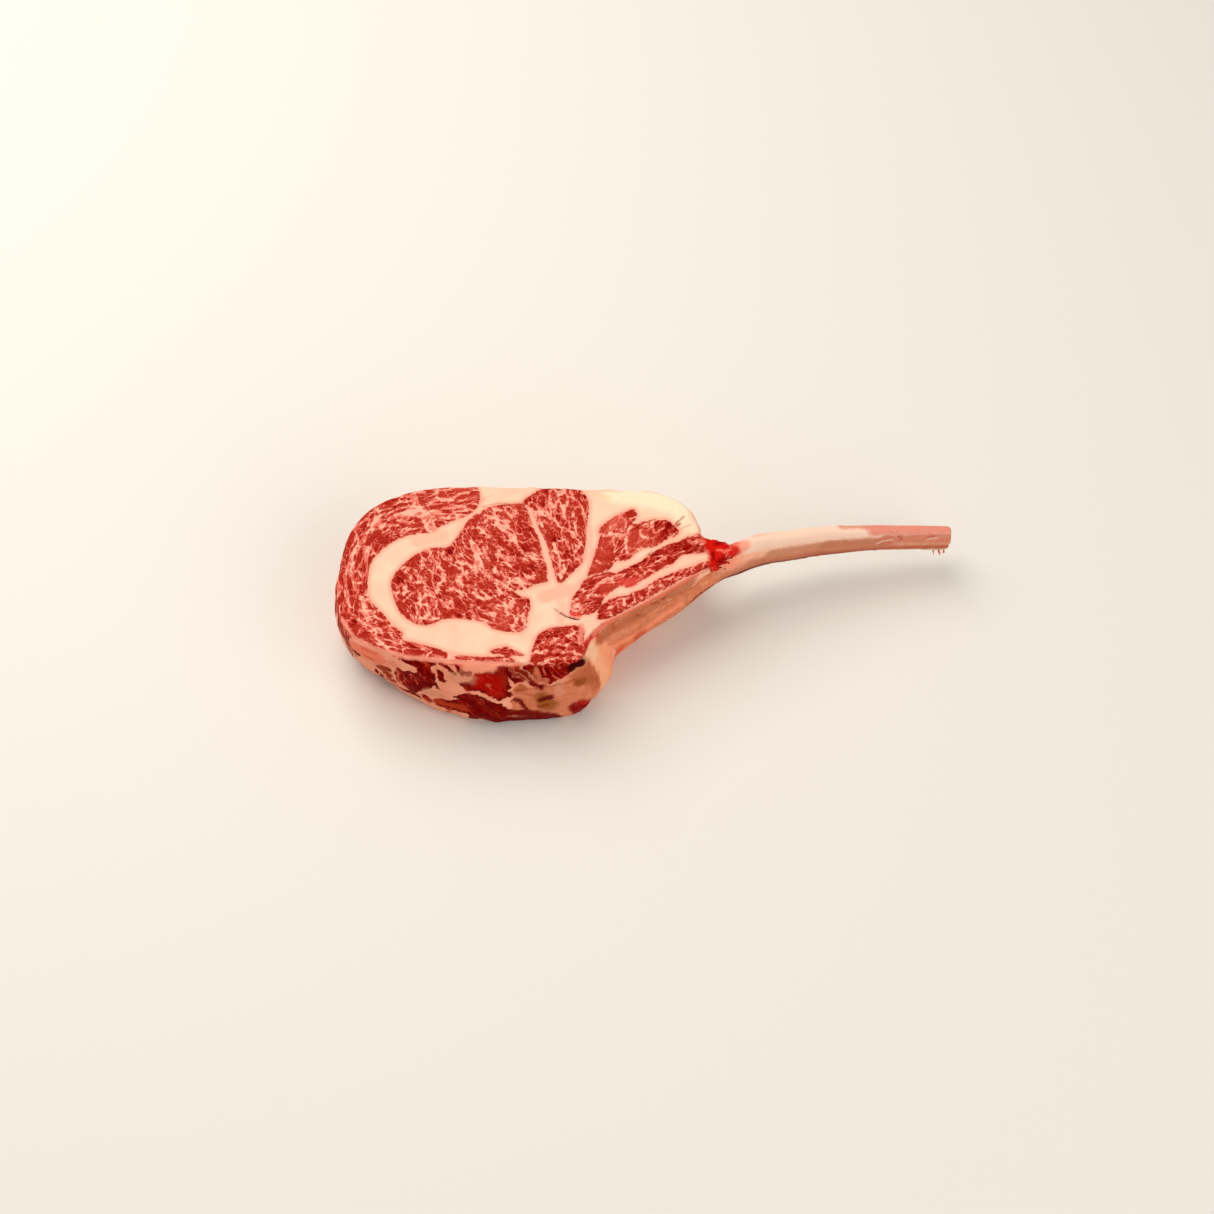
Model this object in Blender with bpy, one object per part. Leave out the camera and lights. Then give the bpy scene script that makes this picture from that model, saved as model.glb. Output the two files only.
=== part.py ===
"""Raw tomahawk steak: a thick rib steak lying flat, with its long rib bone left on and scraped bare.

The meat is one slab. Its muscles run through it from the top cut to the underside, bedded in the fat,
and the rib bone lies along one side of it and runs out past it. Sizes in this file are in millimetres,
and the model is in metres, with +Z up, the underside at Z = 0 and the bone pointing to +X.
"""

import math

import bmesh
import bpy
import numpy as np
from mathutils import Vector

MM = 0.001

# Driving sizes
THICKNESS = 52.0  # the cut, top face to underside
BULGE = 3.0  # how far the slack side wall swells past the top rim
GAP = 0.35  # air left between touching pieces
CURVE_STEPS = 24  # points of a smooth curve between two given ones
RIM_POINTS = 88
MUSCLE_STEP = 4.5  # between the points of a muscle's outline
BONE_SIDES = 14
BONE_STEP = 7.0
SECTION_POWER = 2.6  # 2 is an ellipse; more is squarer
END_ROUNDING = 1.4  # length of the rounding at the bone's sawn ends
END_SHARE = 0.86  # size of the flat that is left there
BELOW, ABOVE = -5.0, 9.0  # how far the cutting outlines run past the underside and the top face

# The outlines below were laid out round this point, which is the middle of the whole steak
MIDDLE = (23.0, -14.1)

# Top rim, seen from above, against the clock from the back left: x, y, and how far the foot of the side
# wall stands out from the rim (less than 0 is undercut)
RIM = [
    (-110, 47, 0), (-127, 41, 0), (-140, 33, -2), (-149, 22, -4), (-154, 11, -6), (-156.5, -5, -8),
    (-158.5, -20, -9), (-158.3, -33, -9), (-155.5, -46, -9), (-147, -58, -9.5), (-133, -65.5, -7),
    (-115, -70, 0), (-95, -71.5, 6), (-70, -72, 10), (-45, -72, 9.5), (-30, -72, 8.5), (-20, -68.5, 9),
    (-16.5, -63, 9), (-14.4, -56, 6), (-10, -49.4, 2), (-5.6, -44.3, 0), (0, -40.6, 0), (12, -33, 0),
    (23, -26.3, 0), (34, -18.6, 0), (45, -11, 0), (54, -4.5, 0), (62, 0.5, 0), (69, 5, 0), (72, 10, 0),
    (69, 14.5, 0), (62, 16.6, 0), (55, 18.3, 0), (51.5, 21, 0), (50, 27, 0), (47, 35.3, 0),
    (40, 43.5, 0), (31, 49, 0), (20, 50.6, 0), (0, 50.8, 0), (-30, 50.8, 0), (-60, 50.6, 0),
    (-85, 49.8, 0),
]  # fmt: skip

# The slab closes in towards this line, on its top and on its underside
SPINE = ((-104, -12), (38, 10))

# Muscles, each as its outline in the top cut. Where one shows at the side wall, its outline runs past it
EYE = [
    (-126.5, -20), (-122, -10.5), (-114, -1.5), (-105, 3.5), (-95, 5), (-89.5, 12), (-84, 22.5),
    (-77, 30), (-66, 34.5), (-54, 35), (-50, 30.5), (-47.5, 23), (-44, 15), (-41.8, 7), (-40.5, -1),
    (-39.5, -9), (-39, -15.5), (-44, -18), (-51, -21.5), (-57, -23), (-54, -26), (-49, -27.5),
    (-47.8, -32), (-49.5, -41), (-50.5, -47.5), (-56, -50), (-67, -48.5), (-75, -43.5), (-91, -42.3),
    (-98, -44), (-104, -47.3), (-112, -46.5), (-119.5, -41), (-124, -32),
]  # fmt: skip
CAP = [
    (-81, 57), (-110, 58), (-140, 48), (-165, 22), (-170, -20), (-167, -55), (-147, -82), (-110, -92),
    (-57, -92), (-56, -67.5), (-75, -66), (-90, -65.3), (-101, -61.5), (-111, -59), (-118, -57),
    (-119.5, -52), (-125, -47), (-131, -39.5), (-137.5, -32), (-139.5, -23), (-138.5, -8), (-133, 1),
    (-124, 9), (-113, 13.3), (-104, 14.5), (-100, 18.5), (-92, 23), (-84, 27), (-78.5, 33.5),
    (-77.5, 41), (-79, 49),
]  # fmt: skip
UPPER = [
    (-50, 40.5), (-43.5, 47), (-38, 58), (-21, 58), (-16.5, 47), (-14.2, 40), (-13.9, 28), (-16, 18),
    (-16.6, 6), (-18.5, -3), (-24, -9.5), (-29.8, -16.2), (-33.5, -13), (-35, -5), (-36.8, 3),
    (-38.8, 11), (-42, 20), (-45.5, 29), (-48, 35),
]  # fmt: skip
FLANK_OUTER = [
    (12, 35), (13.5, 31), (11.5, 26.5), (18, 27), (25, 28.5), (31, 28.5), (37.5, 21.5), (36, 16.5),
    (29.6, 10.5), (21, 8), (12, 2), (5.4, -1.5), (-2, -6), (-10, -10.5), (-16.6, -12), (-13.3, -4),
    (-10.5, 6), (-8, 16), (-3.5, 24.5), (4, 31),
]  # fmt: skip
FLANK_MIDDLE = [
    (67, 13), (57, 16.5), (50, 19), (42, 16), (31, 9), (22, 2), (10, -5.8), (2, -9.8), (-5, -13),
    (-12.5, -16.6), (-18.5, -23), (-23.5, -30), (-25, -35), (-22, -38), (-12.5, -37), (-8.8, -31.5),
    (0, -23.5), (9, -19.8), (13, -16.2), (19, -13.8), (27.4, -7.6), (34, -2), (40, 2.5), (47, 4.8),
    (56, 7), (64, 6.3), (69.5, 9),
]  # fmt: skip
FLANK_INNER = [
    (-8, -37.5), (-6, -33.6), (0, -28.5), (7.6, -26.3), (13, -21.5), (23, -14.5), (34, -7.9),
    (45, -3.5), (54, 0.5), (57, -0.5), (46, -7.6), (34, -15), (23, -22), (12, -29.3), (3, -35.8),
    (-2, -38.8),
]  # fmt: skip
CHINE = [
    (-45.5, -57), (-43, -51.5), (-37.5, -47), (-29, -45.6), (-21, -44.5), (-17.6, -48), (-18.2, -57),
    (-18.5, -64), (-19, -78), (-28, -92), (-46, -92), (-49, -74),
]  # fmt: skip

MUSCLES = {
    "eye_muscle": EYE,
    "cap_muscle": CAP,
    "upper_muscle": UPPER,
    "outer_flank_muscle": FLANK_OUTER,
    "middle_flank_muscle": FLANK_MIDDLE,
    "inner_flank_muscle": FLANK_INNER,
    "chine_muscle": CHINE,
}
BY_THE_BONE = ("cap_muscle", "middle_flank_muscle", "chine_muscle")
ON_THE_RIB = ("inner_flank_muscle",)

# Rib bone: x, y and height of its middle, its breadth seen from above, and its depth, at points along it
RIB = [
    (-20, -60, 23, 10, 38), (-12.2, -47.8, 23.5, 10, 42), (-3.4, -38.3, 23.5, 9.5, 42),
    (4.4, -33, 26, 9.5, 37), (11.7, -28.5, 29.5, 9.5, 31), (20.5, -22.8, 31, 9.5, 28),
    (30.6, -15.6, 31.5, 9.5, 27), (40.5, -8.5, 34, 10, 25), (49.8, -1.7, 37, 10.5, 23),
    (60.5, 5.8, 39, 11.2, 23), (73, 12.8, 36.8, 11.5, 26.5), (86, 18.8, 35.3, 11.4, 27.8),
    (99.3, 23.3, 33.4, 11.2, 27.2), (112.5, 27.1, 31.8, 11, 26), (125.6, 30.3, 30.6, 10.8, 24.2),
    (138.8, 32.9, 29.4, 10.5, 22.5), (157, 35.8, 28.2, 10.2, 20), (178.3, 38.4, 26, 10.2, 18.5),
    (204.3, 41.3, 23, 9.8, 17.8),
]  # fmt: skip

# Depth of the muscle strip that lies on the rib: the height of its underside, by x
STRIP_BED = [(30, 46), (42, 47.6), (50, 49.3), (57, 50.8)]

# Sawn block of backbone that the rib grows from: its outline from above, and its top's height at both ends
BACKBONE = [(-56, -92), (-54, -62), (-44, -55), (-28, -54), (-10, -50), (-3, -92)]
BACKBONE_TOP = (29.0, 43.0)
BONE_PROUD = 0.8  # how far the bone stands out of the wall

# Height of the bone's lower edge along the steak's bone side, by x: below it the meat is cut back
BONE_EDGE = [(-4, 0), (6, 8), (13, 15), (21, 18), (31, 18), (42, 22), (52, 26), (60, 28)]
UNDERCUT = 0.6  # cut back this far for each millimetre below the edge

# The underside lifts towards the bone's way out: by this much, over this length
LIFT = 27.0
LIFT_LENGTH = 50.0
BONE_WAY = (0.833, 0.553)  # unit vector along the bone side
BONE_SIDE = -34.0  # where the bone side lies, measured square to it
BONE_SIDE_EDGE = (12, 4)  # the wall turns into the bone side between these distances from it

# Side wall from underside to top: share of the height, and how far in from the rim (out is positive)
WALL = [
    (0.0, -5.0), (0.04, -1.5), (0.18, 0.5 * BULGE), (0.5, BULGE), (0.8, 0.5 * BULGE),
    (0.94, -0.6), (0.987, -2.8), (1.0, -6.5),
]  # fmt: skip
UNDERSIDE_RINGS = (0.5,)  # how far each ring of the underside stays from the spine
TOP_RINGS = (0.66, 0.3)  # the same for the top face

# Soft swellings of the top face: x, y, reach and height
SWELLINGS = [
    (-106, -22, 24, 1.2), (-66, 8, 26, 0.9), (-28, 28, 16, 1.1), (-148, -20, 22, -0.8),
    (-75, -57, 20, -0.9), (8, 8, 22, 0.8), (-33, -26, 12, -1.2), (-32, -58, 13, 0.9),
]  # fmt: skip

# Colours as red, green and blue, then roughness
LOOKS = {
    "fat": ((0.93, 0.66, 0.47), 0.42),
    "bone": ((0.72, 0.42, 0.29), 0.45),
    "eye_muscle": ((0.47, 0.045, 0.03), 0.36),
    "cap_muscle": ((0.50, 0.06, 0.04), 0.36),
    "upper_muscle": ((0.48, 0.05, 0.035), 0.36),
    "outer_flank_muscle": ((0.46, 0.05, 0.035), 0.36),
    "middle_flank_muscle": ((0.40, 0.03, 0.02), 0.36),
    "inner_flank_muscle": ((0.44, 0.04, 0.03), 0.36),
    "chine_muscle": ((0.40, 0.035, 0.025), 0.36),
}


def clear_scene():
    for item in list(bpy.data.objects):
        bpy.data.objects.remove(item, do_unlink=True)


def smooth_path(points, closed):
    """Points of a smooth curve through the given ones, a row each, close together."""
    p = np.array(points, float)
    if closed:
        p = np.vstack([p[-1], p, p[:2]])
    else:
        p = np.vstack([2 * p[0] - p[1], p, 2 * p[-1] - p[-2]])
    t = np.linspace(0, 1, CURVE_STEPS, endpoint=False)[:, None]
    rows = []
    for a, b, c, d in zip(p[:-3], p[1:-2], p[2:-1], p[3:]):
        bend = (2 * a - 5 * b + 4 * c - d) * t**2 + (3 * b - a - 3 * c + d) * t**3
        rows.append(b + 0.5 * ((c - a) * t + bend))
    rows.append(p[-2][None])
    return np.vstack(rows)


def lengths(path):
    """How far along the path each of its points lies, seen from above."""
    return np.r_[0, np.cumsum(np.linalg.norm(np.diff(path[:, :2], axis=0), axis=1))]


def points_at(path, places):
    """The path's rows at these distances along it."""
    return np.stack([np.interp(places, lengths(path), column) for column in path.T], axis=1)


def evenly(loop, count):
    """A closed path's rows again, evenly spaced."""
    return points_at(loop, np.linspace(0, lengths(loop)[-1], count, endpoint=False))


def outline(points, spacing):
    """A closed smooth outline with points about this far apart."""
    loop = smooth_path(points, closed=True)
    return evenly(loop, max(12, round(lengths(loop)[-1] / spacing)))


def outward(loop):
    """Unit vectors that point out of a closed outline."""
    ahead = np.roll(loop, -1, axis=0) - np.roll(loop, 1, axis=0)
    ahead /= np.linalg.norm(ahead, axis=1)[:, None]
    turn = np.sum(loop[:, 0] * np.roll(loop[:, 1], -1) - loop[:, 1] * np.roll(loop[:, 0], -1))
    return np.stack([ahead[:, 1], -ahead[:, 0]], axis=1) * math.copysign(1, turn)


def grown(loop, by):
    return loop + outward(loop) * by


def step_between(low, high, value):
    """0 below low, 1 above high, and a smooth rise between them."""
    t = np.clip((value - low) / (high - low), 0, 1)
    return t * t * (3 - 2 * t)


def underside(x, y):
    """Height of the underside: flat, and lifting to the place where the bone leaves."""
    along = BONE_WAY[0] * x + BONE_WAY[1] * y
    across = BONE_WAY[0] * y - BONE_WAY[1] * x - BONE_SIDE
    return LIFT * step_between(0, LIFT_LENGTH, along - across)


def top_face(x, y):
    height = np.full_like(x, THICKNESS)
    for sx, sy, reach, rise in SWELLINGS:
        height += rise * np.exp(-((x - sx) ** 2 + (y - sy) ** 2) / reach**2)
    return height


def wall_offset(x, y, offset, height):
    """How far the wall stands out. On the bone side it doesn't bulge, and it is cut back under the bone."""
    on_side = step_between(*BONE_SIDE_EDGE, BONE_WAY[0] * y - BONE_WAY[1] * x - BONE_SIDE)
    edge_x, edge_z = np.array(BONE_EDGE, float).T
    cut = UNDERCUT * np.maximum(0, np.interp(x, edge_x, edge_z) - height)
    return offset - on_side * (max(offset, 0) + BONE_PROUD + cut)


def make_object(name, corners, faces, collection=None):
    """A mesh object from corners in millimetres, placed round the middle of the steak."""
    mesh = bpy.data.meshes.new(name)
    shifted = (np.array(corners, float) - (*MIDDLE, 0)) * MM
    mesh.from_pydata([Vector(v) for v in shifted], [], faces)
    edit = bmesh.new()
    edit.from_mesh(mesh)
    bmesh.ops.remove_doubles(edit, verts=edit.verts, dist=0.02 * MM)
    bmesh.ops.triangulate(edit, faces=edit.faces)
    bmesh.ops.recalc_face_normals(edit, faces=edit.faces)
    edit.to_mesh(mesh)
    edit.free()
    mesh.shade_smooth()
    mesh.set_sharp_from_angle(angle=math.radians(40))
    item = bpy.data.objects.new(name, mesh)
    (collection or bpy.context.scene.collection).objects.link(item)
    return item


def skin(rings):
    """Corners and faces of a tube of closed rings, its two ends filled."""
    size = len(rings[0])
    faces = []
    for k in range(len(rings) - 1):
        for i in range(size):
            j = (i + 1) % size
            faces.append((k * size + i, k * size + j, (k + 1) * size + j, (k + 1) * size + i))
    faces.append(tuple(range(size))[::-1])
    faces.append(tuple((len(rings) - 1) * size + i for i in range(size)))
    return np.vstack(rings), faces


def steak_slab(name, collection, proud=0.0):
    """The whole slab of meat and fat, before it is parted into its muscles."""
    rim = evenly(smooth_path(RIM, closed=True), RIM_POINTS)
    rim, lean = rim[:, :2], rim[:, 2]
    start, end = np.array(SPINE, float)
    share = np.clip((rim - start) @ (end - start) / ((end - start) @ (end - start)), 0, 1)
    spine = start + share[:, None] * (end - start)
    out = (rim - spine) / np.linalg.norm(rim - spine, axis=1)[:, None]

    rings = []
    foot = None
    for part, offset in WALL:
        low = underside(*rim.T)
        height = low + part * (THICKNESS - low)
        reach = proud + lean * (1 - part) + wall_offset(*rim.T, offset, height)
        place = rim + out * reach[:, None]
        if foot is None:
            foot = place
        height = underside(*place.T) * (1 - part) + part * top_face(*place.T)
        rings.append(np.c_[place, height])
    brow = rings[-1][:, :2]
    for share_left in UNDERSIDE_RINGS:
        place = spine + share_left * (foot - spine)
        rings.insert(0, np.c_[place, underside(*place.T)])
    for share_left in TOP_RINGS:
        place = spine + share_left * (brow - spine)
        rings.append(np.c_[place, top_face(*place.T)])
    return make_object(name, *skin(rings), collection)


def prism(name, loop, low, high, collection):
    """An outline pulled up from one height to another. A height may be a number or one for each point."""
    rings = [np.c_[loop, np.broadcast_to(z, len(loop))] for z in (low, high)]
    return make_object(name, *skin(rings), collection)


def rib(name, collection, gap=0.0):
    """The rib: rounded sections swept along its curve, with flat sawn ends."""
    path = smooth_path(RIB, closed=False)
    length = lengths(path)[-1]
    places = np.linspace(END_ROUNDING, length - END_ROUNDING, round(length / BONE_STEP))
    path = points_at(path, [0, *places, length])
    path[[0, -1], 3:] *= END_SHARE
    ahead = np.gradient(path[:, :2], axis=0)
    ahead /= np.linalg.norm(ahead, axis=1)[:, None]
    turn = np.linspace(0, 2 * math.pi, BONE_SIDES, endpoint=False)
    across = np.sign(np.cos(turn)) * np.abs(np.cos(turn)) ** (2 / SECTION_POWER)
    upward = np.sign(np.sin(turn)) * np.abs(np.sin(turn)) ** (2 / SECTION_POWER)
    rings = []
    for (x, y, z, broad, deep), (ax, ay) in zip(path, ahead):
        wide = across * (broad / 2 + gap)
        rings.append(np.c_[x - ay * wide, y + ax * wide, z + upward * (deep / 2 + gap)])
    return make_object(name, *skin(rings), collection)


def backbone(name, collection, gap=0.0):
    """The sawn block of backbone, with its top sloping up towards the rib, longer than the slab is wide."""
    loop = grown(outline(BACKBONE, 6), gap)
    ends = loop[:, 0].min(), loop[:, 0].max()
    top = np.interp(loop[:, 0], ends, BACKBONE_TOP) + gap
    return prism(name, loop, BELOW, top, collection)


def combine(item, operation, other):
    """A Boolean with one object or with all those of a collection."""
    step = item.modifiers.new(operation.title(), "BOOLEAN")
    step.operation = operation
    step.solver = "EXACT"
    if isinstance(other, bpy.types.Collection):
        step.operand_type = "COLLECTION"
        step.collection = other
    else:
        step.object = other
    return step


def give_look(item, look):
    colour, roughness = LOOKS[look]
    material = bpy.data.materials.new(look)
    material.use_nodes = True
    shader = material.node_tree.nodes["Principled BSDF"]
    shader.inputs["Base Color"].default_value = (*colour, 1)
    shader.inputs["Roughness"].default_value = roughness
    shader.inputs["Metallic"].default_value = 0
    item.data.materials.clear()
    item.data.materials.append(material)


def guide_collection(name):
    collection = bpy.data.collections.new(name)
    bpy.context.scene.collection.children.link(collection)
    return collection


def hide_guides(collection):
    for item in collection.objects:
        item.hide_render = True
        item.display_type = "WIRE"


def build():
    clear_scene()
    guides = guide_collection("guides")
    rooms = guide_collection("rooms")
    whole = steak_slab("whole_steak", guides)

    # The bone, and the room that it takes in the meat
    bone = rib("rib_bone", None)
    block = backbone("backbone", guides)
    combine(block, "INTERSECT", steak_slab("sawn_face", guides, proud=BONE_PROUD))
    combine(bone, "UNION", block)
    give_look(bone, "bone")
    rib_room = rib("rib_room", rooms, GAP)
    backbone_room = backbone("backbone_room", rooms, GAP)

    # Each muscle, and the room that it takes in the fat
    for name, points in MUSCLES.items():
        loop = outline(points, MUSCLE_STEP)
        bed = np.interp(loop[:, 0], *np.array(STRIP_BED).T) if name in ON_THE_RIB else BELOW
        muscle = prism(name, loop, bed, THICKNESS + ABOVE, None)
        combine(muscle, "INTERSECT", whole)
        if name in BY_THE_BONE:
            combine(muscle, "DIFFERENCE", rib_room)
            combine(muscle, "DIFFERENCE", backbone_room)
        give_look(muscle, name)
        prism(name + "_room", grown(loop, GAP), bed - GAP, THICKNESS + ABOVE + GAP, rooms)

    # The fat is all that is left of the slab
    fat = steak_slab("fat", None)
    combine(fat, "DIFFERENCE", rooms)
    give_look(fat, "fat")
    for collection in (guides, rooms):
        hide_guides(collection)


build()
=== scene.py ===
"""Raw tomahawk steak: the cut face, the fat, the side walls and the scraped rib bone, with their finishes."""

import math

import bmesh
import bpy
import numpy as np
from mathutils import Matrix, Vector, noise


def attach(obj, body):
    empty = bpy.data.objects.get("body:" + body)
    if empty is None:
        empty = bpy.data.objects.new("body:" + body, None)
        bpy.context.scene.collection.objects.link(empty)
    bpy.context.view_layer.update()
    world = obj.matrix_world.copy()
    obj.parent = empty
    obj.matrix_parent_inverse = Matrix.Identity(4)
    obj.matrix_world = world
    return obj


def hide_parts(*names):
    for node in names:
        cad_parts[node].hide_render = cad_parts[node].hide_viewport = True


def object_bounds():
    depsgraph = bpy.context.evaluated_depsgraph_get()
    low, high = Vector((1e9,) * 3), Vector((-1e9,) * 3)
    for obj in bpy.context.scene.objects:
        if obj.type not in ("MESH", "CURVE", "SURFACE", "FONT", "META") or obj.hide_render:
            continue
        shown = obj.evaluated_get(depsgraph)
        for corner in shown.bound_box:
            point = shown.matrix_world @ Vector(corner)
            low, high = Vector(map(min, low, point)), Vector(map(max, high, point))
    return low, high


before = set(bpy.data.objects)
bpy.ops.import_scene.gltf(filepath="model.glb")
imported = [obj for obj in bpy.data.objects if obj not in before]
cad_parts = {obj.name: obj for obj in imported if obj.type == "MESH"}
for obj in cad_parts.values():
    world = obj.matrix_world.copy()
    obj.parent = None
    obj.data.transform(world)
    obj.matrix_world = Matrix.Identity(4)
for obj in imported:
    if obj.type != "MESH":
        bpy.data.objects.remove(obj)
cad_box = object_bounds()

MM = 0.001

# Sizes, in millimetres
THICKNESS = 52.0
BULGE = 3.0
MIDDLE = (23.0, -14.1)  # the middle of the whole steak, in the frame that the sizes below are laid out in
STEAK_GRID, BONE_GRID, SHRED_GRID = 1.5, 0.8, 0.5  # how fine the skin of each piece is
ROUND_RIM, ROUND_BLOCK = 140, 60  # how many points go round the slab, and round the block of backbone

# Top rim, against the clock from the back left: x, y, and how far the wall's foot stands out from it
RIM = [
    (-110, 47, 0), (-127, 41, 0), (-140, 33, -2), (-149, 22, -4), (-154, 11, -6), (-156.5, -5, -8),
    (-158.5, -20, -9), (-158.3, -33, -10), (-155.5, -46, -12), (-147, -58, -13.5), (-133, -65.5, -11.5),
    (-115, -70, -4), (-95, -71.5, 4.5), (-70, -72, 9.5), (-45, -72, 8.5), (-30, -72, 6.5), (-20, -68.5, 7),
    (-16.5, -63, 8), (-14.4, -56, 6), (-10, -49.4, 2), (-5.6, -44.3, 0), (0, -40.6, 0), (12, -33, 0),
    (23, -26.3, 0), (34, -18.6, 0), (45, -11, 0), (54, -4.5, 0), (62, 0.5, 0), (69, 5, 0), (72, 10, 0),
    (69, 14.5, 0), (62, 16.6, 0), (55, 18.3, 0), (51.5, 21, 0), (50, 27, 0), (47, 35.3, 0), (40, 43.5, 0),
    (31, 49, 0), (20, 50.6, 0), (0, 50.8, 0), (-30, 50.8, 0), (-60, 50.6, 0), (-85, 49.8, 0),
]  # fmt: skip
# The line that the walls lean away from, and the wall from its foot to its brow: how far up, and how far out
SPINE = ((-104, -12), (38, 10))
WALL = [
    (0.0, -5.0), (0.04, -1.5), (0.18, 0.5 * BULGE), (0.35, 0.85 * BULGE), (0.5, BULGE),
    (0.65, 0.85 * BULGE), (0.8, 0.5 * BULGE), (0.94, -0.6), (0.987, -2.8), (1.0, -6.5),
]  # fmt: skip
# Rings that close the underside and the cut face, each by its share of the way out from the spine
UNDERSIDE_RINGS, TOP_RINGS = (0.7, 0.4), (0.8, 0.55, 0.3)
# The front right corner spreads at its foot: where, how far round it, how far out, and which way
CORNER, CORNER_REACH, CORNER_SPREAD, CORNER_WAY = (-8.5, -50.5), 12.0, 11.0, (0.98, -0.12)
# The bone side: how proud the bone stands, which way it runs, how far off it lies, and how its wall is cut
# back below the bone's lower edge, given at x and its height
BONE_PROUD = 0.8
BONE_WAY, BONE_SIDE, BONE_SIDE_EDGE = (0.833, 0.553), -34.0, (12, 4)
BONE_EDGE = [(-4, 0), (6, 8), (13, 15), (21, 18), (31, 18), (42, 22), (52, 26), (60, 28)]
UNDERCUT = 0.6
LIFT, LIFT_LENGTH = 27.0, 50.0  # how far the underside rises towards the bare bone, and over what length
# Where the cut face is higher or lower: x, y, reach and how much
SWELLINGS = [
    (-106, -22, 24, 1.2), (-66, 8, 26, 0.9), (-28, 28, 16, 1.1), (-148, -20, 22, -0.8),
    (-75, -57, 20, -0.9), (8, 8, 22, 0.8), (-33, -26, 12, -1.2), (-32, -58, 13, 0.9),
]  # fmt: skip

# Muscles, each by its outline in the cut face
EYE = [
    (-126.5, -20), (-122, -10.5), (-114, -1.5), (-105, 3.5), (-95, 5), (-89.5, 12), (-84.5, 22.5),
    (-79.5, 28.4), (-77.5, 27.8), (-75.5, 31.2), (-70, 33.8), (-66, 35), (-60, 35.8), (-53.3, 36.6),
    (-50.8, 34.2), (-49.4, 31), (-48, 26.2), (-46.7, 21.2), (-44.4, 15.6), (-42.8, 10.6), (-41.6, 5.1),
    (-40.2, -1.6), (-38.6, -6), (-38.2, -9.5), (-38.4, -13), (-38.4, -16.4), (-44, -18), (-51, -21.5),
    (-57, -23), (-54, -26), (-49, -27.5), (-47.8, -32), (-49.5, -41), (-50.5, -47.5), (-56, -50),
    (-67, -48.5), (-75, -43.5), (-91, -42.3), (-98, -44), (-104, -47.3), (-112, -46.5), (-119.5, -41),
    (-124, -32),
]  # fmt: skip
CAP = [
    (-81, 57), (-110, 58), (-140, 48), (-165, 22), (-170, -20), (-167, -55), (-147, -82), (-110, -92),
    (-57, -92), (-56, -67.5), (-75, -66), (-90, -65.3), (-101, -61.5), (-111, -59), (-118, -57),
    (-119.5, -52), (-125, -47), (-131, -39.5), (-137.5, -32), (-139.5, -23), (-138.5, -8), (-133, 1),
    (-124, 9), (-113, 13.3), (-104, 14.5), (-100, 18.5), (-92, 23), (-84, 27), (-78.5, 33.5), (-77.5, 41),
    (-79, 49),
]  # fmt: skip
UPPER = [
    (-52.6, 36.9), (-51.4, 39.6), (-47.8, 42.8), (-43.6, 46.6), (-41, 49.5), (-38, 58), (-22, 58),
    (-19.8, 49.5), (-17, 45.2), (-14.8, 40.6), (-14.2, 36), (-14.6, 30), (-15.6, 22), (-16, 14), (-16.6, 6),
    (-18.5, -3), (-24, -9.5), (-29.8, -16.2), (-32.6, -15.2), (-34, -11), (-35.2, -6), (-36.4, -0.5),
    (-37.7, 5), (-39, 10), (-41.7, 16), (-44.2, 22), (-45.6, 27), (-47.4, 31.4), (-49.4, 34.6),
]  # fmt: skip
FLANK_OUTER = [
    (11.9, 35.2), (13.6, 32), (12.9, 28.7), (11.4, 25.2), (13.8, 24.8), (16.2, 26.2), (20, 27.4),
    (24, 28.6), (27, 28.2), (31, 28.7), (34.8, 25.5), (38.2, 21), (37, 18.8), (34.2, 16.6), (31, 15.3),
    (28, 13), (25.6, 11), (23.3, 9.8), (20, 9.2), (16, 8), (12.8, 5.6), (10.6, 2.8), (8.3, 0.6), (4, -0.9),
    (1, -1.2), (-1.2, -4), (-3.8, -7.6), (-8, -9.3), (-12, -10.3), (-15.6, -12.5), (-15, -9.5), (-13.4, -4),
    (-11.9, 1), (-10.6, 5.6), (-9.2, 10), (-8.2, 15), (-8.6, 18.9), (-8, 21), (-5.6, 24), (-2.2, 27),
    (1.1, 29.8), (4.4, 31.8), (8.8, 34),
]  # fmt: skip
FLANK_MIDDLE = [
    (56.5, 9.5), (54.4, 17.6), (52.8, 18.8), (50.6, 20.1), (48.3, 19.8), (46, 18.1), (42.2, 17), (39, 14.8),
    (35, 13.1), (30.5, 11.2), (26, 8.2), (22, 5), (18.3, 2.4), (14, -1.6), (9, -4.4), (4.4, -7.2),
    (1, -8.9), (-3.5, -8.6), (-8, -10), (-12, -11.2), (-15.6, -13.2), (-18.1, -15), (-20, -20),
    (-22.2, -22.5), (-23.9, -25.6), (-24.8, -29), (-25.3, -34), (-25.6, -36.6), (-22.8, -38.2),
    (-18.9, -37.4), (-15, -37), (-11.7, -35.6), (-9.4, -33.3), (-7.4, -30), (-6.6, -26.7), (-5.4, -25),
    (-2.8, -22.3), (1.1, -19), (3.5, -17.2), (7, -18.4), (11.1, -17), (14.4, -14), (18.3, -11.8),
    (21.7, -9), (25.6, -6.2), (30, -3.8), (33.3, -1.9), (35.6, 0.9), (38.3, 3.7), (41, 5.3), (46, 5.9),
    (50.6, 6.4), (54, 8.1),
]  # fmt: skip
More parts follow.
